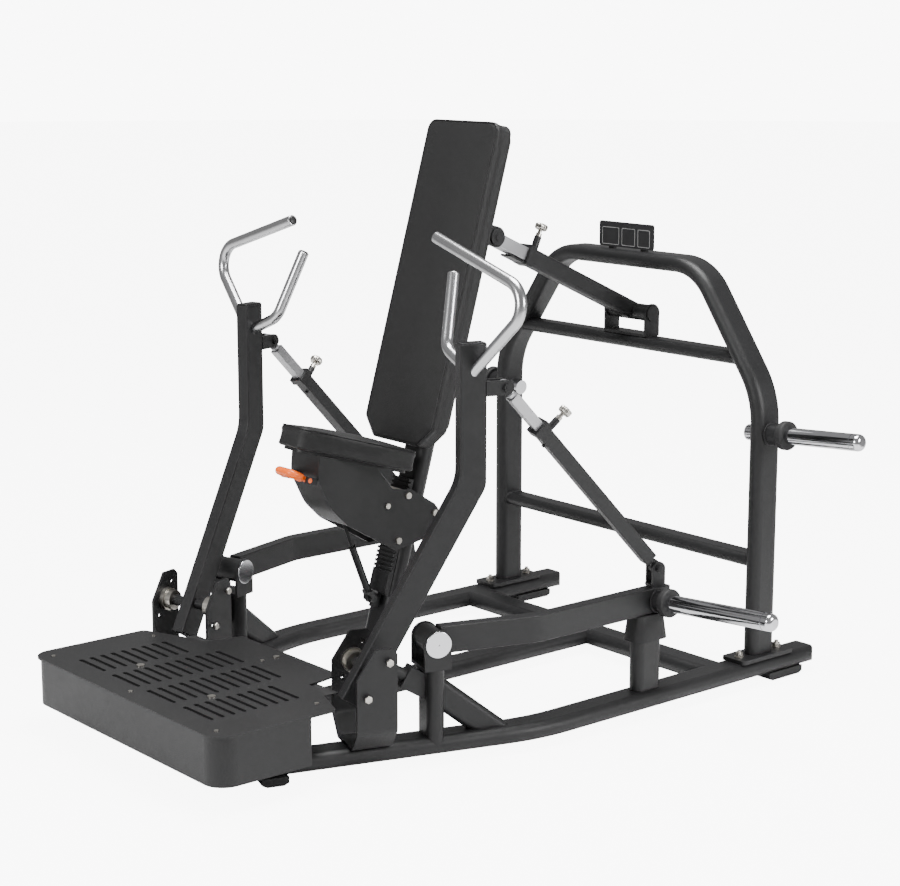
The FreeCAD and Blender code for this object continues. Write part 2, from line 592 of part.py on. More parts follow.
def body_sketch_many(body, role, outlines):
    """One sketch that holds several closed outlines."""
    sketch = body.newObject("Sketcher::SketchObject", "Slots")
    sketch.AttachmentSupport = (plane_of(body, role), [""])
    sketch.MapMode = "FlatFace"
    for points in outlines:
        sketch.addGeometry(outline(points), False)
    return sketch


def deck_outlines():
    """Plans of the deck: rounded front corners, sides cut back to clear both brackets, and a tongue between them."""
    half, front, side = cell("deck_half"), cell("deck_front_y"), cell("deck_side_y")
    right = [(half, front, 55), (half, side, 22), (292, -622, 12)]
    tongue = [(257.7, -621.9), (233, -505, 10)]
    return (right + [(-x, y, r) for x, y, r in reversed(right)],
            tongue + [(-point[0], *point[1:]) for point in reversed(tongue)])


def fasteners():
    """Visible bolts of the frame in one piece file: arch base bolts and deck screws."""
    solids = []
    y0, pitch = cell("arch_y"), cell("base_bolt_pitch")
    for sign in (1, -1):
        for end in (1, -1):
            x, y = sign * cell("rail_x"), y0 + end * pitch / 2
            z = RAIL_TOP + cell("base_plate_thick")
            washer = Part.makeCylinder(14, 2.5, V(x, y, z + 0.05))
            nut = hexagon(21, 11, x, y, z + 2.5)
            stud = Part.makeCylinder(6, 18, V(x, y, z + 2.5))
            solids.append(washer.fuse([nut, stud]))
    top = cell("deck_top_z") + 0.05
    for x, y in ((-410, -1020), (0, -1020), (410, -1020), (-398, -700), (398, -700), (0, -596)):
        solids.append(Part.makeCylinder(6, 2.2, V(x, y, top)))
    for x, y, radius in ((-177, -880, 11), (177, -880, 11), (0, -548, 9)):
        solids.append(Part.makeCylinder(radius, 3.5, V(x, y, top)))
    keep(shape_part("Fasteners", Part.makeCompound(solids)), "frame_fasteners")


def hexagon(across, tall, x, y, z):
    """Hexagonal prism with its axis up."""
    r = across / 2 / math.cos(math.pi / 6)
    points = [(x + r * math.cos(math.radians(60 * i)), y + r * math.sin(math.radians(60 * i))) for i in range(6)]
    prism = Part.Face(section_wire(points)).extrude(V(0, 0, tall))
    prism.translate(V(0, 0, z))
    return prism


# ------------------------------------------------------------------ press arms
def arm_centre_s(z):
    """Centre line of the slanting lower arm in the pivot plane at a height."""
    return cell("arm_offset") + (z - cell("pivot_z")) * math.tan(math.radians(cell("arm_lean")))


def arm_rear_distance(point, direction):
    """Distance from a point along a direction, square to it, to the back face of the slanting lower arm."""
    lean = math.radians(cell("arm_lean"))
    normal = V(0, math.cos(lean), -math.sin(lean))
    on_face = V(0, arm_centre_s(cell("pivot_z")), cell("pivot_z")) + normal * (cell("arm_tube_deep") / 2)
    return (on_face - point).dot(normal) / direction.dot(normal)


def press_arms():
    """Bent rectangular arm with pivot shaft, clevis and bolt, and two chrome handles."""
    lean = math.radians(cell("arm_lean"))
    deep, upper, top = cell("arm_tube_deep"), cell("arm_upper_s"), cell("arm_top_z")
    along, across = V(math.sin(lean), math.cos(lean), 0), V(math.cos(lean), -math.sin(lean), 0) * (deep / 2)
    tail = V(cell("arm_offset"), cell("pivot_z"), 0) - along * cell("arm_tail")
    front_low, rear_low = tail - across, tail + across

    def bend_z(s, low):
        return low.y + (s - low.x) / math.tan(lean)

    front_s, rear_s = upper - deep / 2, upper + deep / 2
    points = [(rear_low.x, rear_low.y), (rear_s, bend_z(rear_s, rear_low), 60), (rear_s, top), (front_s, top),
              (front_s, bend_z(front_s, front_low), 120), (front_low.x, front_low.y)]
    body = padded("Arm", "YZ_Plane", points, "Dims.arm_tube_wide", midplane=True, rounding="3.5")
    clevis_s, clevis_z, rear = cell("link_top_s"), cell("link_top_z"), rear_s
    cheeks = []
    for sign in (1, -1):
        cheek = Part.makeBox(8, clevis_s - rear + 2, 40, V(-4 + sign * 18, rear - 2, clevis_z - 20))
        cheek = cheek.fuse(Part.makeCylinder(20, 8, V(-4 + sign * 18, clevis_s, clevis_z), V(1, 0, 0)))
        cheeks.append(cheek)
    web = Part.makeBox(44, 10, 40, V(-22, rear - 2, clevis_z - 20))
    bolt = Part.makeCylinder(cell("bolt_radius"), 62, V(-31, clevis_s, clevis_z), V(1, 0, 0))
    head = Part.makeCylinder(11, 8, V(22, clevis_s, clevis_z), V(1, 0, 0))
    nut = Part.makeCylinder(11, 8, V(-30, clevis_s, clevis_z), V(1, 0, 0))
    shaft = Part.makeCylinder(cell("shaft_radius"), 180, V(-90, 0, cell("pivot_z")), V(1, 0, 0))
    arm_shape = joined(body.Shape, shaft, web, *cheeks, bolt, head, nut)
    both_sides(shape_part("PressArm", arm_shape), "press_arm", PIVOT_FRAME)
    radius = cell("handle_radius")
    circle = Part.Wire([Part.makeCircle(radius)])
    arm_x, arm_y = in_frame(PIVOT_FRAME, 0, upper, 0)[:2]
    long = swept([(326, -236, 1386), (735, -241, 1263), (arm_x, arm_y, 1042)], [65], circle, (0, 1, 0))
    short = swept([(341, -187, 1289), (389, -253, 1097), (arm_x, arm_y, 1045)], [52], circle, (0, 1, 0))
    solid = arm_shape.copy()
    solid.Placement = PIVOT_FRAME
    rods = []
    for rod, tip in ((long, (326, -236, 1386)), (short, (341, -187, 1289))):
        trimmed = largest_end(rod.cut(solid), V(*tip))
        rim = [e for e in trimmed.Edges if e.BoundBox.Center.distanceToPoint(V(*tip)) < 6]
        rods.append(trimmed.makeFillet(3, rim))
    both_sides(shape_part("ArmHandles", Part.makeCompound(rods)), "arm_handles")


def largest_end(shape, tip):
    """The solid nearest to a point."""
    return min(shape.Solids, key=lambda s: s.BoundBox.Center.distanceToPoint(tip))


# ------------------------------------------------------------------ weight levers
def weight_levers():
    """Rectangular levers, bent in plan, with hub, link clevis and horn stub, and their chrome horns and collars."""
    hub_x, hub_y = in_frame(PIVOT_FRAME, 0, cell("hub_s"), 0)[:2]
    x, end = cell("lever_x"), cell("lever_end_y")
    bend_y = hub_y + (x - hub_x) / math.tan(TOE)
    half = cell("arm_tube_wide") / 2
    along, out = V(math.sin(TOE), math.cos(TOE), 0), V(math.cos(TOE), -math.sin(TOE), 0) * half
    start = V(hub_x, hub_y, 0) + along * 20
    step = half * math.tan(TOE / 2)
    points = [(start.x + out.x, start.y + out.y), (x + half, bend_y - step, 160), (x + half, end), (x - half, end),
              (x - half, bend_y + step, 120), (start.x - out.x, start.y - out.y)]
    tube = padded("LeverTube", "XY_Plane", points, "Dims.arm_tube_deep", rounding="3.5",
                  offset=cell("hub_z") - cell("arm_tube_deep") / 2)
    length = 2 * (cell("ear_half") - cell("ear_plate") - 0.5)
    hub = Part.makeCylinder(cell("hub_radius"), length, V(-length / 2, cell("hub_s"), cell("hub_z")), V(1, 0, 0))
    bore = Part.makeCylinder(cell("shaft_radius") + cell("running_gap"), 2 * length, V(-length, cell("hub_s"),
                             cell("hub_z")), V(1, 0, 0))
    hub.Placement, bore.Placement = PIVOT_FRAME, PIVOT_FRAME
    # clevis for the link, square to the pivot axis
    s, n = pivot_s(cell("lever_x"), cell("link_low_y"))
    z, top = cell("link_low_z"), cell("hub_z") + cell("arm_tube_deep") / 2
    pieces = [Part.makeBox(44, 44, 8, V(n - 22, s - 22, top - 1))]
    for sign in (1, -1):
        cheek = Part.makeBox(8, 40, z - top + 1, V(n - 4 + sign * 18, s - 20, top - 1))
        pieces.append(cheek.fuse(Part.makeCylinder(20, 8, V(n - 4 + sign * 18, s, z), V(1, 0, 0))))
    pieces.append(Part.makeCylinder(cell("bolt_radius"), 66, V(n - 31, s, z), V(1, 0, 0)))
    pieces.append(Part.makeCylinder(12, 2.5, V(n + 22, s, z), V(1, 0, 0)))
    pieces.append(Part.makeCylinder(9.5, 10, V(n + 24, s, z), V(1, 0, 0)))
    pieces.append(Part.makeCylinder(11, 8, V(n - 30, s, z), V(1, 0, 0)))
    clevis = joined(*pieces)
    clevis.Placement = PIVOT_FRAME
    stub = round_bar(lever_horn_point(x - 22), lever_horn_point(x + 50), cell("stub_radius"))
    hole = round_bar(lever_horn_point(x - 40), lever_horn_point(x + 90), cell("horn_radius") - 0.85)
    doc.recompute()
    lever = joined(tube.Shape, hub, clevis, stub).cut(bore).cut(hole)
    both_sides(shape_part("Lever", largest(lever)), "weight_lever")
    horn = horn_solid(lever_horn_point(x - 30), lever_horn_point(x + 50.5 + cell("collar_thick")),
                      lever_horn_point(cell("lever_tip_x")), cell("horn_radius"))
    both_sides(shape_part("LeverHorn", horn), "lever_horn")
    collar = collar_solid(lever_horn_point(x + 50.2), lever_horn_point(x + 50 + cell("collar_thick")),
                          cell("collar_radius") - 2, cell("horn_radius") - 0.85)
    both_sides(shape_part("LeverCollar", collar), "lever_collar")


def lever_horn_point(x):
    """Point on the axis of a lever's weight horn, which rises outboard."""
    rise = (x - cell("lever_x")) * math.tan(math.radians(cell("horn_tilt")))
    return (x, cell("lever_horn_y"), cell("lever_horn_z") + rise)


# ------------------------------------------------------------------ links
def link_frame():
    """Ends of the link in the pivot frame, and its unit vectors: along from the top, and square to it."""
    s, n = pivot_s(cell("lever_x"), cell("link_low_y"))
    top, low = V(0, cell("link_top_s"), cell("link_top_z")), V(n, s, cell("link_low_z"))
    along = (low - top).normalize()
    square = V(1, 0, 0).cross(along).normalize()
    if square.z < 0:
        square = square * -1
    return top, low, along, square


def eye(centre, along, axis, reach, bore):
    """Rod end: a ring round the bolt and a threaded shank towards the link's tube."""
    ring = Part.makeCylinder(19, 16, centre - axis * 8, axis)
    neck = Part.makeCylinder(9, reach + 10, centre, along)
    nut = Part.makeCylinder(13, 8, centre + along * (reach - 14), along)
    hole = Part.makeCylinder(bore, 40, centre - axis * 20, axis)
    return joined(ring, neck, nut).cut(hole)


def joined(first, *others):
    """Fuse solids one at a time and check that none of them was lost."""
    for other in others:
        result = first.fuse(other)
        if result.isNull() or result.Volume < max(first.Volume, other.Volume) * 0.999:
            result = other.fuse(first)
        if result.isNull() or result.Volume < max(first.Volume, other.Volume) * 0.98:
            raise RuntimeError(f"a fuse lost material: {first.Volume:.0f} + {other.Volume:.0f}")
        first = result
    return first


def links():
    """Telescopic links: rod end and square bar above, square sleeve and rod end below, pull pin on the sleeve."""
    top, low, along, square = link_frame()
    wide = square.cross(along).normalize()
    length = (low - top).Length
    # link frame: Z runs down the link from the upper bolt, Y is square to it, X lies near the pivot axis
    frame = PIVOT_FRAME.multiply(FreeCAD.Placement(top, FreeCAD.Rotation(wide, square, along, "ZXY")))
    axis = FreeCAD.Rotation(wide, square, along, "ZXY").inverted().multVec(V(1, 0, 0))
    bar_side, sleeve_side = cell("link_bar"), cell("link_sleeve")
    start, down = 168, V(0, 0, 1)
    upper = eye(V(0, 0, 0), down, axis, 42, cell("bolt_radius") + cell("open_eye_gap"))
    bar = square_bar((0, 0, 40), (0, 0, 480), bar_side, (1, 0, 0))
    both_sides(shape_part("LinkBar", largest(joined(bar, upper))), "link_bar", frame)
    sleeve = square_bar((0, 0, start), (0, 0, length - 42), sleeve_side, (1, 0, 0), 3.0)
    mouth = square_bar((0, 0, start - 4), (0, 0, start + 16), sleeve_side + 10, (1, 0, 0), 4.0)
    inside = square_bar((0, 0, start - 10), (0, 0, 484), bar_side + 0.4, (1, 0, 0), 1.8)
    boss_z = start + 30
    boss = Part.makeCylinder(10, 54, V(0, 0, boss_z), V(0, 1, 0))
    lower = eye(V(0, 0, length), V(0, 0, -1), axis, 44, cell("bolt_radius") + cell("running_gap"))
    tip_nut = Part.makeCylinder(5, 7, V(0, -sleeve_side / 2 + 1, boss_z + 26), V(0, -1, 0))
    bore = Part.makeCylinder(6.3, 60, V(0, bar_side / 2 + 0.2, boss_z), V(0, 1, 0))
    shell = joined(sleeve, mouth, boss, tip_nut, lower).cut(inside).cut(bore)
    both_sides(shape_part("LinkSleeve", largest(shell)), "link_sleeve", frame)
    pin = pull_pin(V(0, bar_side / 2 + 0.4, boss_z), V(0, 1, 0), 54 - bar_side / 2 - 0.4)
    both_sides(shape_part("LinkPin", pin), "link_pin", frame)


def pull_pin(foot, direction, boss_reach):
    """Chrome pull pin: plunger in its boss, a stem and a grooved knob."""
    plunger = Part.makeCylinder(6, boss_reach + 26, foot, direction)
    collar = Part.makeCylinder(9, 10, foot + direction * (boss_reach + 0.5), direction)
    knob_at = foot + direction * (boss_reach + 26)
    knob = Part.makeCylinder(15, 14, knob_at, direction)
    rims = [e for e in knob.Edges if e.Curve.TypeId == "Part::GeomCircle"]
    return joined(plunger, collar, knob.makeFillet(3, rims))


# ------------------------------------------------------------------ seat post and backrest
def seat_post():
    """Leaning flat-oval post with floor pivot, rear wear strip, gas-spring lug and adjuster lugs."""
    long = cell("post_long")
    post = swept([(0, 0, 46), (0, 0, long)], [], OVAL, (1, 0, 0))
    foot = Part.makeBox(60, 50, 60, V(-30, -25, 0)).fuse(Part.makeCylinder(25, 60, V(-30, 0, 0), V(1, 0, 0)))
    strip = Part.makeBox(60, 6, 560, V(-30, 24.8, 240))
    lug = Part.makeBox(14, 34, 36, V(-7, -54, 176))
    lug_pin = Part.makeCylinder(5, 40, V(-20, -60, 200), V(1, 0, 0))
    lug = joined(lug, Part.makeCylinder(14, 14, V(-7, -60, 200), V(1, 0, 0)), lug_pin)
    hub = POST_FRAME.inverse().multVec(V(0, cell("tilt_hub_y"), cell("tilt_hub_z")))
    ears = []
    for sign in (1, -1):
        plate = Part.makeBox(8, hub.y - 15, 60, V(-4 + sign * 34, 15, hub.z - 30))
        ears.append(plate.fuse(Part.makeCylinder(30, 8, V(-4 + sign * 34, hub.y, hub.z), V(1, 0, 0))))
    pin = Part.makeCylinder(10, 92, V(-46, hub.y, hub.z), V(1, 0, 0))
    discs = [Part.makeCylinder(26, 5, V(sign * 38.1, hub.y, hub.z), V(sign, 0, 0)) for sign in (1, -1)]
    pivot_bore = Part.makeCylinder(12 + cell("running_gap"), 200, V(-100, 0, 0), V(1, 0, 0))
    solid = joined(post, foot, strip, lug, pin, *ears, *discs).cut(pivot_bore)
    keep(shape_part("SeatPost", largest(solid)), "seat_post", POST_FRAME)
    # rack: a plate with a ladder of locking grooves
    low, high, thick = cell("rack_low"), cell("rack_high"), cell("rack_thick")
    front = -OVAL_T / 2 - 0.1
    profile = [(front, low), (front, high), (front - thick, high), (front - thick, high - 8)]
    z = high - 8
    while z - cell("rack_pitch") > low + 62:
        profile += [(front - thick + 7, z), (front - thick + 7, z - 5), (front - thick, z - 5),
                    (front - thick, z - cell("rack_pitch"))]
        z -= cell("rack_pitch")
    profile += [(front - thick, low + 8), (front - thick + 8, low)]
    rack = padded("Rack", "YZ_Plane", [(y, z) for y, z in profile], "Dims.rack_wide", midplane=True)
    keep(rack, "post_rack", POST_FRAME)
    # floor bracket that the post turns in
    ears = []
    for sign in (1, -1):
        x = sign * 37
        plate = Part.Face(section_wire([(-46, RAIL_TOP - cell("post_z") + 0.1), (46, RAIL_TOP - cell("post_z") + 0.1),
                                        (28, 28, 27), (-28, 28, 27)])).extrude(V(0, 0, 10))
        plate.Placement = FreeCAD.Placement(V(x - 5, cell("post_y"), cell("post_z")), FreeCAD.Rotation(V(1, 1, 1), 120))
        ears.append(plate)
    pin = Part.makeCylinder(12, 100, V(-50, cell("post_y"), cell("post_z")), V(1, 0, 0))
    base = Part.makeBox(96, 130, 8, V(-48, cell("post_y") - 65, RAIL_TOP + 0.1))
    keep(shape_part("PostBracket", joined(base, *ears, pin)), "post_bracket")


def backrest():
    """Back board and the back pad, with chamfered lower corners."""
    half, low, high = cell("pad_wide") / 2, cell("pad_low"), cell("pad_high")
    chamfer = 57

    def shield(inset):
        h, a, b = half - inset, low + inset, high - inset
        return [(-h + chamfer, a, 18), (h - chamfer, a, 18), (h, a + chamfer, 18), (h, b, 32), (-h, b, 32),
                (-h, a + chamfer, 18)]

    front = cell("pad_front")
    pad = padded("BackPad", "XZ_Plane", shield(0), "Dims.pad_thick", rounding="10",
                 offset=-(front + cell("pad_thick")))
    keep(pad, "back_pad", POST_FRAME)
    board = padded("BackBoard", "XZ_Plane", shield(16), "Dims.board_thick - 0.4",
                   offset=-(front + cell("pad_thick") + cell("board_thick") - 0.2))
    keep(board, "back_board", POST_FRAME)


def seat_outline(inset):
    """Plan of the seat: narrow rounded nose, curved flanks and a wide rear."""
    nose, half = cell("seat_nose") - inset, cell("seat_half") - inset
    front, rear = cell("seat_front") + inset, cell("seat_rear") - inset
    right = [(nose, front, 30), (nose + 6, front + 95, 160), (half, front + 240, 70), (half, rear, 34)]
    return right + [(-x, y, r) for x, y, r in reversed(right)]


def seat():
    """Seat pad on its plate, the sliding carriage of bent sheet with rollers, and the release handle."""
    top, thick, plate = cell("seat_top"), cell("seat_thick"), cell("seat_plate_thick")
    pad = padded("SeatPad", "XY_Plane", seat_outline(0), "Dims.seat_thick", rounding="12", offset=top - thick)
    keep(pad, "seat_pad", POST_FRAME)
    low = top - thick - plate - 0.2
    board = padded("SeatPlate", "XY_Plane", seat_outline(14), "Dims.seat_plate_thick", offset=low)
    half, sheet_t = cell("carriage_half"), cell("carriage_sheet")
    cheek = [(-400, low + 1), (-388, 512, 90), (-318, 436, 120), (-252, 401, 60), (-58, 352, 16), (48, 404, 30),
             (86, 468, 22), (50, 505, 16), (-46, 532, 16), (-118, 524, 20), (-196, low + 1)]
    cheeks = []
    for sign in (1, -1):
        face = Part.Face(section_wire(cheek)).extrude(V(0, 0, sheet_t))
        face.Placement = FreeCAD.Placement(V(sign * half - (sheet_t if sign > 0 else 0), 0, 0),
                                           FreeCAD.Rotation(V(1, 1, 1), 120))
        cheeks.append(face)
    inner = section_wire(cheek)
    front_sheet = Part.Face(inner).cut(Part.Face(section_wire(
        [(-394, low + 10), (-382, 513, 86), (-314, 440, 116), (-250, 405.5, 56), (60, 380), (60, low + 10)])))
    keep_box = Part.makeBox(160, 400, 1, V(-408, 388, -0.5))
    strip = max(front_sheet.common(keep_box).Faces, key=lambda f: f.Area).extrude(V(0, 0, 2 * half - 1))
    strip.Placement = FreeCAD.Placement(V(-half + 0.5, 0, 0), FreeCAD.Rotation(V(1, 1, 1), 120))
    doc.recompute()
    parts = [board.Shape] + cheeks + [strip]
    carriage = largest(joined(*parts))
    lug = Part.makeBox(2 * half - 2 * sheet_t + 2, 14, 14, V(-half + sheet_t - 1, -252, 434))
    handle_y, handle_z = -409, 506
    ears = [Part.makeBox(9, 36, 20, V(x, handle_y - 11, handle_z - 10)) for x in (-59.5, 50.5)]
    pivot = Part.makeCylinder(7 + cell("running_gap"), 200, V(-100, handle_y, handle_z), V(1, 0, 0))
    carriage = largest(joined(carriage, lug, *ears).cut(pivot))
    axles = [(-58.5, 514, 14), (-58.5, 382, 14), (54.5, 479, 22)]
    holes = [Part.makeCylinder(6.2, 200, V(-100, y, z), V(1, 0, 0)) for y, z, _ in axles]
    carriage = largest(carriage.cut(holes))
    keep(shape_part("Carriage", carriage), "seat_carriage", POST_FRAME)
    rollers = []
    for y, z, radius in axles:
        roller = Part.makeCylinder(radius, 2 * (half - sheet_t) - 4, V(-(half - sheet_t) + 2, y, z), V(1, 0, 0))
        bolt = Part.makeCylinder(6, 2 * half + 4, V(-half - 2, y, z), V(1, 0, 0))
        heads = [Part.makeCylinder(9.5, 7, V(sign * (half + 0.2), y, z), V(sign, 0, 0)) for sign in (1, -1)]
        rollers.append(joined(roller, bolt, *heads))
    for sign in (1, -1):
        rollers.append(Part.makeCylinder(8, 5, V(sign * (half + 0.2), -124, 474), V(sign, 0, 0)))
    keep(shape_part("Rollers", Part.makeCompound(rollers)), "seat_rollers", POST_FRAME)
    # release handle: a cross rod that turns in the ears, and a bent grip in front of it
    rod = Part.makeCylinder(7, 118, V(-59, handle_y, handle_z), V(1, 0, 0))
    grip = swept([(-34, handle_y, handle_z), (-34, handle_y - 48, handle_z + 9), (34, handle_y - 48, handle_z + 9),
                  (34, handle_y, handle_z)], [12, 12], Part.Wire([Part.makeCircle(8)]), (1, 0, 0))
    keep(shape_part("ReleaseHandle", joined(grip, rod)), "release_handle", POST_FRAME)


def gas_spring():
    """Gas spring between the post and the seat carriage: tube below, rod above."""
    low, high = V(0, -60, 200), V(0, -245, 440)
    along = (high - low).normalize()
    low_eye = Part.makeCylinder(10, 12, low + V(8.5, 0, 0), V(1, 0, 0)).fuse(
        Part.makeCylinder(10, 12, low + V(-20.5, 0, 0), V(1, 0, 0)))
    body = Part.makeCylinder(11, 150, low + along * 24, along)
    yoke = Part.makeBox(41, 12, 12, V(-20.5, -6, -6))
    yoke.Placement = FreeCAD.Placement(low + along * 20, FreeCAD.Rotation(V(0, 0, 1), along))
    arms = []
    for x in (8.5, -20.5):
        arm = Part.makeBox(12, 12, 24, V(0, -6, 0))
        arm.Placement = FreeCAD.Placement(low + V(x, 0, 0), FreeCAD.Rotation(V(0, 0, 1), along))
        arms.append(arm)
    tube = body.fuse([low_eye, yoke] + arms).cut(
        [Part.makeCylinder(5 + cell("running_gap"), 60, low - V(30, 0, 0), V(1, 0, 0)),
         Part.makeCylinder(5.2, 140, low + along * 40, along)])
    keep(shape_part("GasTube", largest(tube)), "gas_tube", POST_FRAME)
    rod = Part.makeCylinder(5, (high - low).Length - 120, low + along * 100, along)
    keep(shape_part("GasRod", rod), "gas_rod", POST_FRAME)


# ------------------------------------------------------------------ backrest adjuster
def adjuster():
    """Telescopic strut from the seat post to a saddle on the upper crossbar."""
    front = V(0, cell("tilt_hub_y"), cell("tilt_hub_z"))
    rear = V(0, cell("saddle_y"), cell("saddle_z"))
    along = (front - rear).normalize()
    square = V(1, 0, 0).cross(along).normalize()
    if square.z < 0:
        square = square * -1
    half, bar_top = cell("saddle_half"), cell("upper_bar_z") + cell("bar_tall") / 2
    ears = [Part.makeBox(2 * half, 60, 8, V(-half, rear.y - 30, bar_top + 0.1))]
    for sign in (1, -1):
        x = sign * half - (8 if sign > 0 else 0)
        ear = Part.makeBox(8, 60, rear.z - bar_top, V(x, rear.y - 30, bar_top + 0.1))
        ears += [ear, Part.makeCylinder(30, 8, V(x, rear.y, rear.z), V(1, 0, 0))]
    pin = Part.makeCylinder(12, 2 * half + 1, V(-half - 0.5, rear.y, rear.z), V(1, 0, 0))
    discs = [Part.makeCylinder(26, 5, V(sign * (half + 0.1), rear.y, rear.z), V(sign, 0, 0)) for sign in (1, -1)]
    keep(shape_part("Saddle", joined(*ears, pin, *discs)), "adjuster_saddle")
    # strut frame: origin on the saddle pin, Z towards the seat post, Y up and square to the strut
    frame = FreeCAD.Placement(rear, FreeCAD.Rotation(V(1, 0, 0), square * -1, along, "ZXY"))
    up = frame.Rotation.inverted().multVec(square)
    length = (front - rear).Length
    hub_long, mouth = 2 * (half - 8 - 0.6), length - 150
    cross, bore_radius = V(1, 0, 0), 12 + cell("running_gap")
    hub = Part.makeCylinder(26, hub_long, V(-hub_long / 2, 0, 0), cross)
    tube = square_bar((0, 0, 0), (0, 0, mouth), 54, (1, 0, 0), 12.0)
    lip = square_bar((0, 0, mouth - 22), (0, 0, mouth + 4), 62, (1, 0, 0), 8.0)
    tongue = Part.makeBox(46, 6, 62, V(-23, -3 - up.y * 27, mouth + 2))
    inside = square_bar((0, 0, 150), (0, 0, mouth + 12), 40.6, (1, 0, 0), 2.8)
    boss_z = mouth - 34
    boss = Part.makeCylinder(11, 68, V(0, 0, boss_z), up)
    bore = Part.makeCylinder(6.3, 80, V(0, 0, boss_z) + up * 20.5, up)
    hole = Part.makeCylinder(bore_radius, 300, V(-150, 0, 0), cross)
    sleeve = joined(tube, hub, lip, tongue, boss).cut(inside).cut(bore).cut(hole)
    keep(shape_part("AdjusterSleeve", largest(sleeve)), "adjuster_sleeve", frame)
    bar = square_bar((0, 0, 300), (0, 0, length - 28), 40, (1, 0, 0), 2.5)
    eye_ring = Part.makeCylinder(28, 56, V(-28, 0, length), cross)
    eye_bore = Part.makeCylinder(10 + cell("open_eye_gap"), 100, V(-50, 0, length), cross)
    keep(shape_part("AdjusterBar", largest(joined(bar, eye_ring).cut(eye_bore))), "adjuster_bar", frame)
    pin = pull_pin(V(0, 0, boss_z) + up * 21, up, 68 - 21)
    keep(shape_part("AdjusterPin", pin), "adjuster_pin", frame)


# ------------------------------------------------------------------ build, check, write
def checked(objects):
    """Stop if any object failed or any sub-part has no valid closed solid."""
    for obj in doc.Objects:
        if {"Invalid", "Error"} & set(obj.State):
            raise RuntimeError(f"{obj.Name} ({obj.Label}) in {[o.Label for o in obj.InList]} failed: {obj.State}")
    for obj in objects:
        shape = obj.Shape
        if shape.isNull() or not shape.isValid() or not shape.Solids or shape.Volume <= 0:
            raise RuntimeError(f"{obj.Label}: shape is null or not valid")


def main():
    floor_frame()
    feet()
    rear_arch()
    storage_horns()
    placard()
    arm_brackets()
    lever_posts()
    platform()
    fasteners()
    press_arms()
    weight_levers()
    links()
    seat_post()
    backrest()
    seat()
    gas_spring()
    adjuster()
    doc.recompute()
    checked(PARTS)
    os.makedirs("parts", exist_ok=True)
    for obj in PARTS:
        obj.Shape.exportStep(f"parts/{obj.Label}.step")
        print(f"{obj.Label:24s} {obj.Shape.Volume / 1000:10.1f} cm3  solids {len(obj.Shape.Solids)}")
    print(len(PARTS), "sub-parts")


main()
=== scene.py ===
"""Looks of a plate-loaded seated press: finishes for its frame, with upholstery, caps, bolts and welds."""

import json
import logging
import math
from dataclasses import dataclass
from enum import Enum

import bpy
import numpy as np
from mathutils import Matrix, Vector


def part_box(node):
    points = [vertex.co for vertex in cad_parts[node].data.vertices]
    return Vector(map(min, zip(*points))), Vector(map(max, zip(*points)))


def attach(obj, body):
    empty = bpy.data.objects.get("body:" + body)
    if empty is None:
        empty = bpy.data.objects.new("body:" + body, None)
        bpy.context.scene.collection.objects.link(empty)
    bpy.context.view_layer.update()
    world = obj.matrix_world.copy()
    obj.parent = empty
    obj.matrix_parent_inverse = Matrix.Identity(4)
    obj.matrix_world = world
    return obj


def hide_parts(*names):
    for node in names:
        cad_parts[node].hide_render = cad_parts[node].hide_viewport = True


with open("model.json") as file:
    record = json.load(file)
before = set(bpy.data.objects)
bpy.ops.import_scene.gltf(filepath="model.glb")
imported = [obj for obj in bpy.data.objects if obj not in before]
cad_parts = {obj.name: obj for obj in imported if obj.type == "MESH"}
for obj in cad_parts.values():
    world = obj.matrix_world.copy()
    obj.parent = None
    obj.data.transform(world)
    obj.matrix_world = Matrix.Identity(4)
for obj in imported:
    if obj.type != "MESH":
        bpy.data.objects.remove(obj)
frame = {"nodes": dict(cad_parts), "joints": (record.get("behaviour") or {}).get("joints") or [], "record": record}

log = logging.getLogger("press")
Array = np.ndarray
LEAN = math.radians(16.1)
TOE = math.radians(18.0)
POST_FOOT = np.array([0.0, -0.213, 0.110])
PIVOT = np.array([0.568 - 0.466 * math.tan(TOE), -0.556, 0.0])


# ---------------------------------------------------------------- frames of reference
def on_post(points: Array) -> Array:
    """Turns points of the leaning post's frame into the machine's frame.

    Args:
        points: Array (..., 3), local X to the side, Y to the rear and Z along the post.
    Returns:
        Array of the same shape: local Y and Z turned by the lean, then moved to the post's foot.
    """
    x, y, z = np.moveaxis(np.asarray(points, float), -1, 0)
    back = y * math.cos(LEAN) + z * math.sin(LEAN)
    up = -y * math.sin(LEAN) + z * math.cos(LEAN)
    return np.stack([x, back, up], -1) + POST_FOOT


def on_pivot(points: Array, side: int) -> Array:
    """Turns points of a press arm's pivot frame into the machine's frame.

    Args:
        points: Array (..., 3), local X outboard along the pivot, Y back along the toed-in rail, Z up.
        side: 1 for the right-hand side, -1 for the left, which is mirrored.
    Returns:
        Array of the same shape: local X and Y turned by the toe-in, moved to the pivot, mirrored for the left.
    """
    x, y, z = np.moveaxis(np.asarray(points, float), -1, 0)
    across = x * math.cos(TOE) + y * math.sin(TOE)
    back = -x * math.sin(TOE) + y * math.cos(TOE)
    return (np.stack([across, back, z], -1) + PIVOT) * np.array([side, 1.0, 1.0])


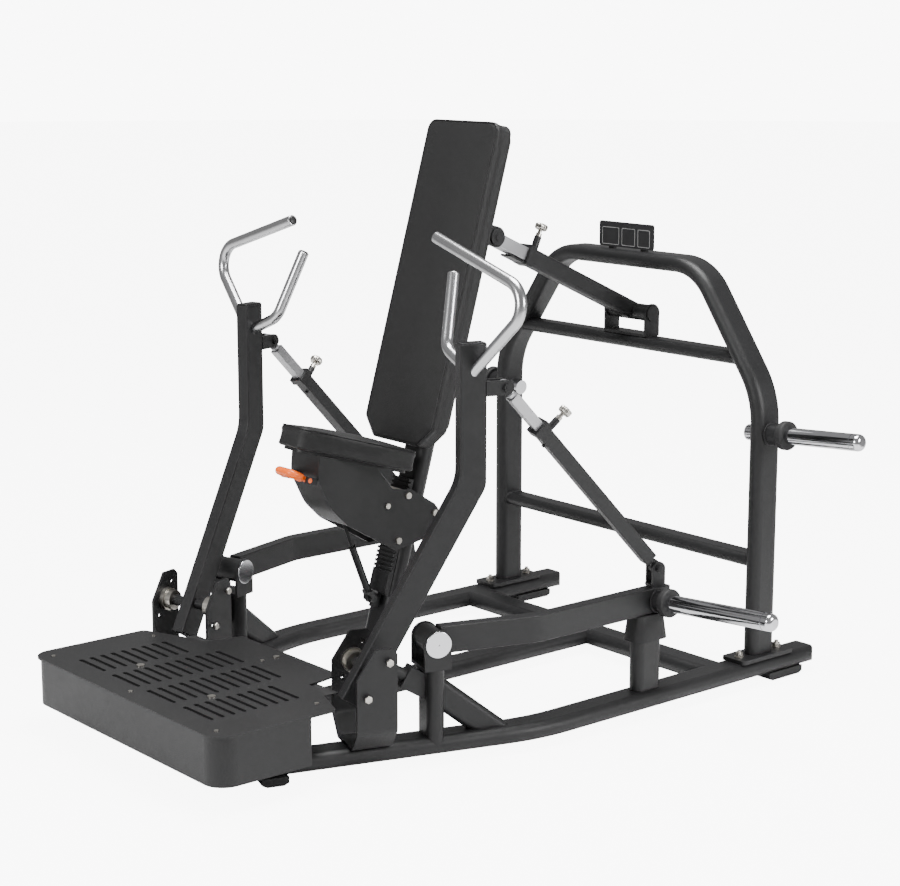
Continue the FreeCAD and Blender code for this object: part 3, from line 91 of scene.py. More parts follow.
# ---------------------------------------------------------------- surfaces
def rounded_outline(corners: list[tuple[float, float, float]], count: int) -> Array:
    """Samples a polygon whose corners are rounded.

    Each corner becomes an arc that touches both of its sides: its centre lies on the corner's bisector at
    radius / sin(half angle), and its points turn evenly from one touching point to the other. The joined
    line is then divided into equal lengths.

    Args:
        corners: (x, y, radius) of every corner in order.
        count: Number of points returned.
    Returns:
        Array (count, 2).
    """
    data = np.asarray(corners, float)
    here, radius = data[:, :2], np.maximum(data[:, 2:], 1e-5)
    back, ahead = np.roll(here, 1, 0) - here, np.roll(here, -1, 0) - here
    back /= np.linalg.norm(back, axis=1, keepdims=True)
    ahead /= np.linalg.norm(ahead, axis=1, keepdims=True)
    half = np.arccos(np.clip((back * ahead).sum(1, keepdims=True), -1, 1)) / 2
    bisector = (back + ahead) / np.linalg.norm(back + ahead, axis=1, keepdims=True)
    centre = here + bisector * radius / np.sin(half)
    start, end = here + back * radius / np.tan(half) - centre, here + ahead * radius / np.tan(half) - centre
    first = np.arctan2(start[:, 1], start[:, 0])
    sweep = (np.arctan2(end[:, 1], end[:, 0]) - first + np.pi) % (2 * np.pi) - np.pi
    angle = first[:, None] + sweep[:, None] * np.linspace(0, 1, 13)[None, :]
    arcs = centre[:, None, :] + radius[:, None, :] * np.stack([np.cos(angle), np.sin(angle)], -1)
    line = np.concatenate([arcs.reshape(-1, 2), arcs[0, :1]])
    along = np.concatenate([[0], np.cumsum(np.linalg.norm(np.diff(line, axis=0), axis=1))])
    at = np.linspace(0, along[-1], count, endpoint=False)
    return np.stack([np.interp(at, along, line[:, 0]), np.interp(at, along, line[:, 1])], -1)


def inward(outline: Array) -> Array:
    """Unit normals of a closed outline, inwards: the tangent turned by a quarter, with the area's sign.

    Args:
        outline: Array (N, 2), the outline's points in order.
    Returns:
        Array (N, 2).
    """
    tangent = np.roll(outline, -1, 0) - np.roll(outline, 1, 0)
    tangent /= np.linalg.norm(tangent, axis=1, keepdims=True)
    x, y = outline.T
    area = (x * np.roll(y, -1) - np.roll(x, -1) * y).sum()
    return np.stack([-tangent[:, 1], tangent[:, 0]], -1) * np.sign(area)


def skin(name: str, rings: Array, capped: bool = True, smooth: bool = True) -> bpy.types.Object:
    """Mesh over a grid of rings, closed round each ring.

    Args:
        name: Name of the object.
        rings: Array (R, K, 3): K points on each of R rings.
        capped: Closes the first and last ring with a fan to its mean point; otherwise they join each other.
        smooth: Shades the faces smooth.
    Returns:
        The object, at the origin, with outward normals.
    """
    count_r, count_k = rings.shape[:2]
    row = np.arange(count_r - 1 if capped else count_r)[:, None]
    col = np.arange(count_k)[None, :]
    below, above, nxt = row * count_k, ((row + 1) % count_r) * count_k, (col + 1) % count_k
    quads = np.stack([below + col, below + nxt, above + nxt, above + col], -1).reshape(-1, 4)
    points, faces = rings.reshape(-1, 3), quads.tolist()
    if capped:
        poles = np.stack([rings[0].mean(0), rings[-1].mean(0)])
        first, last, k = len(points), len(points) + 1, np.arange(count_k)
        fan_a = np.stack([np.full(count_k, first), (k + 1) % count_k, k], -1)
        base = (count_r - 1) * count_k
        fan_b = np.stack([np.full(count_k, last), base + k, base + (k + 1) % count_k], -1)
        points, faces = np.concatenate([points, poles]), faces + fan_a.tolist() + fan_b.tolist()
    mesh = bpy.data.meshes.new(name)
    mesh.from_pydata(points.tolist(), [], faces)
    mesh.update()
    area, centre, normal = (np.empty(len(mesh.polygons) * n) for n in (1, 3, 3))
    mesh.polygons.foreach_get("area", area)
    mesh.polygons.foreach_get("center", centre)
    mesh.polygons.foreach_get("normal", normal)
    if (area * (centre.reshape(-1, 3) * normal.reshape(-1, 3)).sum(1)).sum() < 0:
        mesh.flip_normals()
    mesh.polygons.foreach_set("use_smooth", np.full(len(mesh.polygons), smooth))
    piece = bpy.data.objects.new(name, mesh)
    bpy.context.scene.collection.objects.link(piece)
    return piece


def points_of(mesh: bpy.types.Mesh) -> Array:
    """Coordinates of a mesh's points.

    Args:
        mesh: The mesh.
    Returns:
        Array (N, 3).
    """
    flat = np.empty(len(mesh.vertices) * 3)
    mesh.vertices.foreach_get("co", flat)
    return flat.reshape(-1, 3)


def carried(name: str, path: Array, radius: Array, axis: Array, around: int = 10,
            ring: bool = True) -> bpy.types.Object:
    """Round section carried along a path.

    Every ring lies in the plane of two directions: the given axis made square to the path, and the path's
    tangent crossed with it. A point is path + radius * (cos a * first + sin a * second).

    Args:
        name: Name of the object.
        path: Array (N, 3).
        radius: Array (N,), the section's radius at each point of the path.
        axis: Direction that is nowhere along the path.
        around: Points on a section.
        ring: True where the path closes on itself.
    Returns:
        The object.
    """
    step = np.roll(path, -1, 0) - np.roll(path, 1, 0) if ring else np.gradient(path, axis=0)
    tangent = step / np.linalg.norm(step, axis=1, keepdims=True)
    first = axis - (tangent * axis).sum(1, keepdims=True) * tangent
    first /= np.linalg.norm(first, axis=1, keepdims=True)
    second = np.cross(tangent, first)
    angle = np.linspace(0, 2 * np.pi, around, endpoint=False)
    rings = (path[:, None] + radius[:, None, None] * (np.cos(angle)[None, :, None] * first[:, None]
             + np.sin(angle)[None, :, None] * second[:, None]))
    return skin(name, rings, capped=not ring)


def turned(foot: Array, axis: Array, profile: Array, lobes: int = 0, depth: float = 0.0,
           around: int = 48) -> Array:
    """Rings of a profile turned round an axis, with an optional scalloped edge.

    A point is foot + axis * height + r * (cos a, sin a) in the plane square to the axis, with
    r = radius * (1 - depth * (1 - cos(lobes * a)) / 2).

    Args:
        foot: Point on the axis at height 0.
        axis: Direction of the axis.
        profile: Array (P, 2) of height and radius.
        lobes: Number of scallops.
        depth: Part of the radius that a scallop takes.
        around: Points on a ring.
    Returns:
        Array (P, around, 3).
    """
    axis = np.asarray(axis, float) / np.linalg.norm(axis)
    side = np.cross(axis, [0.0, 0.0, 1.0] if abs(axis[2]) < 0.9 else [1.0, 0.0, 0.0])
    side /= np.linalg.norm(side)
    other = np.cross(axis, side)
    angle = np.linspace(0, 2 * np.pi, around, endpoint=False)
    reach = profile[:, 1, None] * (1 - depth * (1 - np.cos(lobes * angle))[None, :] / 2)
    flat = np.cos(angle)[None, :, None] * side + np.sin(angle)[None, :, None] * other
    return foot + profile[:, 0, None, None] * axis + reach[:, :, None] * flat


def hexagonal(foot: Array, axis: Array, across: float, tall: float) -> Array:
    """Rings of a hexagon head, bevelled on top.

    The radius is half width / cos(angle from the nearest flat's middle), and at most 1.12 of the half width.

    Args:
        foot: Middle of the head's underside.
        axis: Direction from the underside to the top.
        across: Width across the flats.
        tall: Height of the head.
    Returns:
        Array (6, 36, 3).
    """
    axis = np.asarray(axis, float) / np.linalg.norm(axis)
    side = np.cross(axis, [0.0, 0.0, 1.0] if abs(axis[2]) < 0.9 else [1.0, 0.0, 0.0])
    side /= np.linalg.norm(side)
    other = np.cross(axis, side)
    angle = np.linspace(0, 2 * np.pi, 36, endpoint=False)
    edge = across / 2 / np.cos((angle + np.pi / 6) % (np.pi / 3) - np.pi / 6)
    heights = np.array([0.0, 0.08, 0.78, 0.92, 1.0, 0.94]) * tall
    caps = np.array([0.97, 1.0, 1.0, 0.95, 0.86, 0.5])
    flat = np.cos(angle)[None, :, None] * side + np.sin(angle)[None, :, None] * other
    reach = np.minimum(edge[None, :] * caps[:, None], across / 2 * 1.12)
    return foot + heights[:, None, None] * axis + reach[:, :, None] * flat


# ---------------------------------------------------------------- shader node groups
class Effect(Enum):
    """Node groups shared by the finishes."""

    GRAIN = "fine_grain"
    HIDE = "vinyl_hide"
    BRUSH = "brush_lines"
    HANDLING = "handling_marks"
    DUST = "settled_dust"


def new_group(name: str, inputs: dict[str, float], outputs: list[str]) -> bpy.types.NodeTree:
    """Empty shader group with a Vector input, float inputs with defaults, and float outputs.

    Args:
        name: Name of the group.
        inputs: Names and default values of its float inputs.
        outputs: Names of its float outputs.
    Returns:
        The node tree, with its input and output nodes in place.
    """
    tree = bpy.data.node_groups.new(name, "ShaderNodeTree")
    tree.interface.new_socket("Vector", in_out="INPUT", socket_type="NodeSocketVector")
    for key, value in inputs.items():
        tree.interface.new_socket(key, in_out="INPUT", socket_type="NodeSocketFloat").default_value = value
    for key in outputs:
        tree.interface.new_socket(key, in_out="OUTPUT", socket_type="NodeSocketFloat")
    tree.nodes.new("NodeGroupInput")
    tree.nodes.new("NodeGroupOutput")
    return tree


def maths(tree: bpy.types.NodeTree, operation: str, a: object, b: object) -> bpy.types.NodeSocket:
    """Adds a math node.

    Args:
        tree: Node tree that gets the node.
        operation: Blender's name of the operation.
        a: First value, a socket or a number.
        b: Second value, a socket or a number.
    Returns:
        The node's value socket.
    """
    node = tree.nodes.new("ShaderNodeMath")
    node.operation = operation
    for socket, value in zip(node.inputs, (a, b)):
        if isinstance(value, (int, float)):
            socket.default_value = value
        else:
            tree.links.new(value, socket)
    return node.outputs[0]


def noise(tree: bpy.types.NodeTree, vector: object, scale: object, detail: float,
          rough: float = 0.5) -> bpy.types.NodeSocket:
    """Adds a noise texture.

    Args:
        tree: Node tree that gets the texture.
        vector: Socket of the place.
        scale: Size of the noise, a socket or a number.
        detail: Number of finer layers.
        rough: Share that each finer layer adds.
    Returns:
        The texture's value socket.
    """
    node = tree.nodes.new("ShaderNodeTexNoise")
    node.inputs["Detail"].default_value = detail
    node.inputs["Roughness"].default_value = rough
    tree.links.new(vector, node.inputs["Vector"])
    if isinstance(scale, (int, float)):
        node.inputs["Scale"].default_value = scale
    else:
        tree.links.new(scale, node.inputs["Scale"])
    return node.outputs[0]


def build_effects() -> dict[Effect, bpy.types.NodeTree]:
    """Makes every shared node group once.

    Grain and handling each mix two sizes of noise, handling with less detail. Hide is the distance field of
    small cells, with noise on it. Brush is noise stretched along one axis, and dust is noise where a surface
    faces up.

    Returns:
        The groups by effect.
    """
    made: dict[Effect, bpy.types.NodeTree] = {}
    for effect in Effect:
        tree = new_group(effect.value, {"Scale": 100.0, "Amount": 1.0}, ["Height", "Mask"])
        source, sink = tree.nodes["Group Input"], tree.nodes["Group Output"]
        vector, scale, amount = source.outputs["Vector"], source.outputs["Scale"], source.outputs["Amount"]
        if effect is Effect.HIDE:
            cells = tree.nodes.new("ShaderNodeTexVoronoi")
            cells.feature = "DISTANCE_TO_EDGE"
            tree.links.new(vector, cells.inputs["Vector"])
            tree.links.new(scale, cells.inputs["Scale"])
            edge = maths(tree, "MINIMUM", maths(tree, "MULTIPLY", cells.outputs[0], 4.0), 1.0)
            fine = maths(tree, "MULTIPLY", noise(tree, vector, scale, 5.0, 0.6), 0.5)
            height = maths(tree, "ADD", edge, fine)
            mask = maths(tree, "MULTIPLY", edge, amount)
        elif effect is Effect.BRUSH:
            stretch = tree.nodes.new("ShaderNodeMapping")
            stretch.inputs["Scale"].default_value = (1.0, 12.0, 12.0)
            tree.links.new(vector, stretch.inputs["Vector"])
            height = noise(tree, stretch.outputs[0], scale, 3.0, 0.7)
            mask = maths(tree, "MULTIPLY", height, amount)
        elif effect is Effect.DUST:
            facing = tree.nodes.new("ShaderNodeNewGeometry")
            split = tree.nodes.new("ShaderNodeSeparateXYZ")
            tree.links.new(facing.outputs["Normal"], split.inputs[0])
            up = maths(tree, "MAXIMUM", split.outputs[2], 0.0)
            height = maths(tree, "MULTIPLY", noise(tree, vector, scale, 6.0, 0.65), up)
            mask = maths(tree, "MULTIPLY", height, amount)
        else:
            fine = noise(tree, vector, scale, 4.0 if effect is Effect.GRAIN else 2.0, 0.6)
            wide = noise(tree, vector, maths(tree, "MULTIPLY", scale, 0.17), 3.0, 0.5)
            height = maths(tree, "ADD", maths(tree, "MULTIPLY", fine, 0.7), maths(tree, "MULTIPLY", wide, 0.3))
            mask = maths(tree, "MULTIPLY", height, amount)
        tree.links.new(height, sink.inputs["Height"])
        tree.links.new(mask, sink.inputs["Mask"])
        made[effect] = tree
    return made


@dataclass(frozen=True)
class Finish:
    """One finish: its base colour and gloss, the relief on it and how it varies."""

    name: str
    slot: str
    colour: tuple[float, float, float]
    rough: float
    metal: float = 0.0
    relief: Effect = Effect.GRAIN
    relief_scale: float = 900.0
    relief_depth: float = 0.0002
    relief_strength: float = 0.4
    variation: float = 0.10
    rough_spread: float = 0.10
    dust: float = 0.0
    coat: float = 0.0
    sheen: float = 0.0
    specular: float = 0.4

    def material(self, effects: dict[Effect, bpy.types.NodeTree]) -> bpy.types.Material:
        """Builds the material.

        Args:
            effects: The shared node groups.
        Returns:
            A material whose colour and roughness vary by handling marks and dust, with relief as bump.
        """
        made = bpy.data.materials.new(self.name)
        made.use_nodes = True
        tree = made.node_tree
        shader = tree.nodes["Principled BSDF"]
        shader.inputs["Metallic"].default_value = self.metal
        shader.inputs["Specular IOR Level"].default_value = 0.5 if self.metal else self.specular
        shader.inputs["Coat Weight"].default_value = self.coat
        shader.inputs["Coat Roughness"].default_value = 0.12
        shader.inputs["Sheen Weight"].default_value = self.sheen
        where = tree.nodes.new("ShaderNodeTexCoord").outputs["Object"]

        def placed(effect: Effect, scale: float, amount: float) -> bpy.types.Node:
            """Places a group in this material with its own values.

            Args:
                effect: The group.
                scale: Size of its pattern.
                amount: Strength of its mask.
            Returns:
                The group's node.
            """
            node = tree.nodes.new("ShaderNodeGroup")
            node.node_tree = effects[effect]
            node.inputs["Scale"].default_value = scale
            node.inputs["Amount"].default_value = amount
            tree.links.new(where, node.inputs["Vector"])
            return node

        relief = placed(self.relief, self.relief_scale, 1.0)
        marks = placed(Effect.HANDLING, 9.0, 1.0)
        dust = placed(Effect.DUST, 60.0, self.dust)
        tint = tree.nodes.new("ShaderNodeMix")
        tint.data_type = "RGBA"
        dark = tuple(c * (1 - self.variation) for c in self.colour)
        light = tuple(min(1.0, c * (1 + self.variation)) for c in self.colour)
        tint.inputs[6].default_value = (*dark, 1.0)
        tint.inputs[7].default_value = (*light, 1.0)
        blend = maths(tree, "ADD", maths(tree, "MULTIPLY", marks.outputs["Height"], 0.6),
                      maths(tree, "MULTIPLY", relief.outputs["Height"], 0.4))
        tree.links.new(blend, tint.inputs[0])
        dusty = tree.nodes.new("ShaderNodeMix")
        dusty.data_type = "RGBA"
        dusty.inputs[7].default_value = (0.32, 0.31, 0.30, 1.0)
        tree.links.new(dust.outputs["Mask"], dusty.inputs[0])
        tree.links.new(tint.outputs[2], dusty.inputs[6])
        tree.links.new(dusty.outputs[2], shader.inputs["Base Color"])
        uneven = maths(tree, "SUBTRACT", marks.outputs["Height"], 0.5)
        gloss = maths(tree, "MULTIPLY", uneven, self.rough_spread * 2)
        tree.links.new(maths(tree, "ADD", gloss, self.rough), shader.inputs["Roughness"])
        bump = tree.nodes.new("ShaderNodeBump")
        bump.inputs["Strength"].default_value = self.relief_strength
        bump.inputs["Distance"].default_value = self.relief_depth
        tree.links.new(relief.outputs["Height"], bump.inputs["Height"])
        tree.links.new(bump.outputs[0], shader.inputs["Normal"])
        return made


POWDER = Finish("charcoal_powder_coat", "frame_paint", (0.0105, 0.0105, 0.0110), 0.38, relief_scale=520.0,
                relief_depth=0.0012, relief_strength=0.75, variation=0.35, rough_spread=0.08, dust=0.006,
                specular=0.30)
DECK = Finish("deck_powder_coat", "deck_paint", (0.0125, 0.0125, 0.0130), 0.44, relief_scale=420.0,
              relief_depth=0.0016, relief_strength=0.8, variation=0.35, rough_spread=0.08, dust=0.015,
              specular=0.30)
BAR = Finish("zinc_bar", "bar_steel", (0.40, 0.40, 0.41), 0.38, 0.85, Effect.BRUSH, 130.0,
             relief_strength=0.25)
CHROME = Finish("polished_chrome", "horn_chrome", (0.62, 0.62, 0.64), 0.10, 1.0, Effect.BRUSH, 60.0,
                relief_depth=0.00005, relief_strength=0.08, variation=0.04, rough_spread=0.05)
SATIN = Finish("satin_chrome", "handle_satin", (0.50, 0.50, 0.51), 0.24, 1.0, Effect.BRUSH, 120.0,
               relief_depth=0.0001, relief_strength=0.15, variation=0.05, rough_spread=0.06)
BOLT = Finish("nickel_bolt", "bolt_steel", (0.50, 0.48, 0.44), 0.30, 1.0, Effect.HANDLING, 200.0,
              relief_depth=0.0001, relief_strength=0.3)
RUBBER = Finish("black_rubber", "black_rubber", (0.008, 0.008, 0.0085), 0.60, relief_scale=1100.0,
                relief_depth=0.0003, relief_strength=0.5, variation=0.2, rough_spread=0.1, dust=0.05)
MOULDED = Finish("black_moulding", "black_plastic", (0.007, 0.007, 0.0075), 0.36, relief_scale=1600.0,
                 relief_depth=0.0001, relief_strength=0.3, variation=0.15)
BOARD = Finish("board_cover", "board_black", (0.007, 0.007, 0.007), 0.55, relief_depth=0.0003)
VINYL = Finish("pad_vinyl", "pad_cover", (0.0080, 0.0080, 0.0082), 0.46, 0.0, Effect.HIDE, 420.0,
               relief_depth=0.0006, relief_strength=0.45, variation=0.20, rough_spread=0.07, sheen=0.02,
               specular=0.30)
PIPING = Finish("piping_vinyl", "pad_cover", (0.004, 0.004, 0.0042), 0.36, 0.0, Effect.HIDE, 600.0,
                relief_depth=0.0003, relief_strength=0.35, specular=0.3)
ORANGE = Finish("orange_dip", "orange_grip", (0.90, 0.13, 0.003), 0.38, relief_scale=500.0,
                relief_depth=0.0003, relief_strength=0.35, variation=0.08, rough_spread=0.08, coat=0.15)
PLATE = Finish("placard_plate", "placard_face", (0.012, 0.012, 0.013), 0.42, relief_strength=0.3)
INLAY = Finish("placard_inlay", "placard_face", (0.34, 0.34, 0.34), 0.45, relief_depth=0.0001,
               relief_strength=0.2)
FINISHES = (POWDER, DECK, BAR, CHROME, SATIN, BOLT, RUBBER, MOULDED, BOARD, VINYL, PIPING, ORANGE, PLATE,
            INLAY)


class Paints:
    """The finishes as materials, made once and given to pieces and frame nodes."""

    def __init__(self) -> None:
        """Builds the groups and one material for each finish."""
        effects = build_effects()
        self.made = {finish: finish.material(effects) for finish in FINISHES}

    def on(self, piece: bpy.types.Object, finish: Finish, body: str) -> bpy.types.Object:
        """Gives a new piece its finish and the body that it rides on.

        Args:
            piece: The new piece.
            finish: Finish that it gets.
            body: Name of the body.
        Returns:
            The same piece.
        """
        piece.data.materials.append(self.made[finish])
        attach(piece, body)
        return piece

    def dress_frame(self) -> None:
        """Gives every CAD node the finish of its record slot, except a few with a finish of their own."""
        by_slot = {finish.slot: finish for finish in reversed(FINISHES)}
        # platform_ribs also holds a thin sheet under the deck: painted shade that stands for the shadow seen
        # through the deck's slots. It takes the black rubber finish so that it stays dark.
        special = {"lever_pin_right": CHROME, "lever_pin_left": CHROME, "platform_ribs": RUBBER}
        special.update({node: MOULDED for node in frame["nodes"] if node.startswith("gas_")})
        for part in frame["record"]["subparts"]:
            node = frame["nodes"][part["node"]]
            finish = special.get(part["node"], by_slot[part["material_slot"]])
            for held in node.material_slots:
                held.material = self.made[finish]
            log.info("node %s: %s", part["node"], finish.name)


# ---------------------------------------------------------------- upholstery
@dataclass
class Cushion:
    """A firm upholstered pad: crowned face, rounded and slightly waisted sides, a sewn seam and piping."""

    name: str
    node: str
    body: str
    corners: list[tuple[float, float, float]]
    thick: float
    edge: float = 0.013
    crown: float = 0.006
    waist: float = 0.003
    seam: float = 0.0005
    piping: float = 0.0026
    seam_share: float = 0.32
    count: int = 320
    fill: float = 0.9
    voxel: float = 0.005
    pressure: float = 4.0
    stiffness: float = 20.0
    steps: int = 20
    cap: float = 0.007

    def rings(self) -> Array:
        """Surface of the pad over its flat outline.

        Rings run from the middle of the back, round the side, to the middle of the face. On the side a ring's
        inset follows a quarter circle, of the edge radius in front and of half of it at the back, and half-way
        up the wall it dips by the waist. On the face the ring shrinks towards the centre by s, from nearly 1 to
        nearly 0, and the height gains crown * (1 - s^4)^2.
        Beside the seam the height dips by the seam's depth, puckered by a short wave round the outline.

        Returns:
            Array (R, count, 3): the outline's two directions, and height from the back.
        """
        outline = rounded_outline(self.corners, self.count)
        normal = inward(outline)
        centre = (outline.max(0) + outline.min(0)) / 2
        turn = np.linspace(0, np.pi / 2, 9)
        inset_back, high_back = self.edge * 0.5 * (1 - np.sin(turn)), self.edge * 0.5 * (1 - np.cos(turn))
        wall = np.linspace(0.12, 0.88, 9)
        inset_wall, high_wall = self.waist * np.sin(np.pi * wall), self.thick * wall
        inset_front = self.edge * (1 - np.cos(turn))
        high_front = self.thick - self.edge * (1 - np.sin(turn))
        keep = (high_wall > self.edge * 0.5) & (high_wall < self.thick - self.edge)
        inset = np.concatenate([inset_back, inset_wall[keep], inset_front])
        high = np.concatenate([high_back, high_wall[keep], high_front])
        side = np.concatenate([outline[None] + inset[:, None, None] * normal[None],
                               np.broadcast_to(high[:, None, None], (len(high), self.count, 1))], -1)
        shrink = np.concatenate([np.linspace(0.995, 0.93, 12), np.linspace(0.91, 0.03, 22)])
        rim = side[-1, :, :2]
        face = centre + (rim[None] - centre) * shrink[:, None, None]
        rise = self.crown * (1 - shrink**4) ** 2
        pucker = 1 + 0.35 * np.sin(np.linspace(0, 2 * np.pi * 96, self.count))
        dip = self.seam * np.exp(-(((shrink - 0.992) / 0.010) ** 2))
        height = self.thick + rise[:, None] - dip[:, None] * pucker[None]
        face = np.concatenate([face, height[..., None]], -1)
        back_shrink = np.linspace(0.05, 0.97, 8)
        back = centre + (side[0, None, :, :2] - centre) * back_shrink[:, None, None]
        back = np.concatenate([back, np.zeros((8, self.count, 1))], -1)
        return np.concatenate([back, side, face])

    def placed(self, local: Array) -> Array:
        """Moves outline and height coordinates to the machine's frame; each pad has its own."""
        raise NotImplementedError

    def filled(self, pad: bpy.types.Object) -> None:
        """Lets the foam press the cover out, as cloth under pressure.

        The closed form is remeshed to even squares. Its back, the lower half of its flanks and the seam line
        are held, the pressure bows the face and the upper flanks step by step, and no point travels further
        than the cap: new = start + travel * min(1, cap / |travel|).

        Args:
            pad: The pad in its flat frame; its mesh is replaced by the filled one.
        """
        even = pad.modifiers.new("even", "REMESH")
        even.mode, even.voxel_size, even.use_smooth_shade = "VOXEL", self.voxel, True
        mesh = bpy.data.meshes.new_from_object(pad.evaluated_get(bpy.context.evaluated_depsgraph_get()))
        pad.modifiers.clear()
        pad.data = mesh
        start = points_of(mesh)
        away = np.sqrt(((start[:, None, :2] - self.seam_line()[None]) ** 2).sum(-1).min(1))
        on_seam = (away < self.voxel * 0.9) & (start[:, 2] > self.thick * 0.75)
        held = (start[:, 2] < self.thick * 0.5) | on_seam
        group = pad.vertex_groups.new(name="held")
        group.add(np.flatnonzero(held).tolist(), 1.0, "REPLACE")
        cloth = pad.modifiers.new("cover", "CLOTH")
        rules = cloth.settings
        rules.use_pressure, rules.uniform_pressure_force, rules.quality = True, self.pressure, 5
        rules.vertex_group_mass, rules.effector_weights.gravity = "held", 0.0
        rules.tension_stiffness = rules.compression_stiffness = rules.shear_stiffness = self.stiffness
        cloth.point_cache.frame_start, cloth.point_cache.frame_end = 1, self.steps
        for step in range(1, self.steps + 1):
            bpy.context.scene.frame_set(step)
        blown = pad.evaluated_get(bpy.context.evaluated_depsgraph_get())
        travel = points_of(blown.data) - start
        far = np.linalg.norm(travel, axis=1, keepdims=True)
        pad.modifiers.clear()
        bpy.context.scene.frame_set(1)
        moved = start + travel * np.minimum(1.0, self.cap / np.maximum(far, 1e-9))
        mesh.vertices.foreach_set("co", moved.ravel())
        mesh.update()
        log.info("%s filled: %d points, travel up to %.1f mm", self.name, len(start), 1000 * far.max())

    def seam_line(self) -> Array:
        """Outline of the seam: the pad's outline moved inwards by a share of the edge radius."""
        outline = rounded_outline(self.corners, self.count)
        return outline + inward(outline) * self.edge * self.seam_share

    def build(self, paints: Paints) -> None:
        """Makes the pad, which stands for its CAD node, and the piping along its seam.

        Args:
            paints: The finishes.
        """
        pad = skin(self.name, self.rings())
        self.filled(pad)
        pad.data.vertices.foreach_set("co", self.placed(points_of(pad.data)).ravel())
        pad.data.update()
        paints.on(pad, VINYL, self.body)
        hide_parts(self.node)
        line = np.concatenate([self.seam_line(), np.full((self.count, 1), self.thick - self.edge * 0.24)], -1)
        axis = self.placed(np.array([[0, 0, 1.0]]))[0] - self.placed(np.array([[0, 0, 0.0]]))[0]
        edging = carried(self.name + "_piping", self.placed(line), np.full(self.count, self.piping), axis, 10)
        paints.on(edging, PIPING, self.body)


class BackPad(Cushion):
    """The back pad: a tall shield with cut lower corners."""

    def placed(self, local: Array) -> Array:
        """Outline across and along the post, with height towards the user."""
        return on_post(np.stack([local[..., 0], -0.0393 - local[..., 2], local[..., 1]], -1))


class SeatPad(Cushion):
    """The seat pad: a narrow nose, curved flanks and a wide rear."""

    def placed(self, local: Array) -> Array:
        """Outline across and to the rear, with height along the post."""
        return on_post(np.stack([local[..., 0], local[..., 1], 0.585 + local[..., 2]], -1))


def back_corners() -> list[tuple[float, float, float]]:
    """Corners of the back pad's outline in metres, with their radii.

    Returns:
        (x, y, radius) of every corner in order.
    """
    half, low, high, cut = 0.155, 0.656, 1.600, 0.057
    return [(-half + cut, low, 0.018), (half - cut, low, 0.018), (half, low + cut, 0.018), (half, high, 0.032),
            (-half, high, 0.032), (-half, low + cut, 0.018)]


def seat_corners() -> list[tuple[float, float, float]]:
    """Corners of the seat pad's outline in metres, with their radii."""
    right = [(0.062, -0.468, 0.030), (0.068, -0.373, 0.160), (0.140, -0.228, 0.070), (0.140, -0.106, 0.034)]
    return right + [(-x, y, r) for x, y, r in reversed(right)]


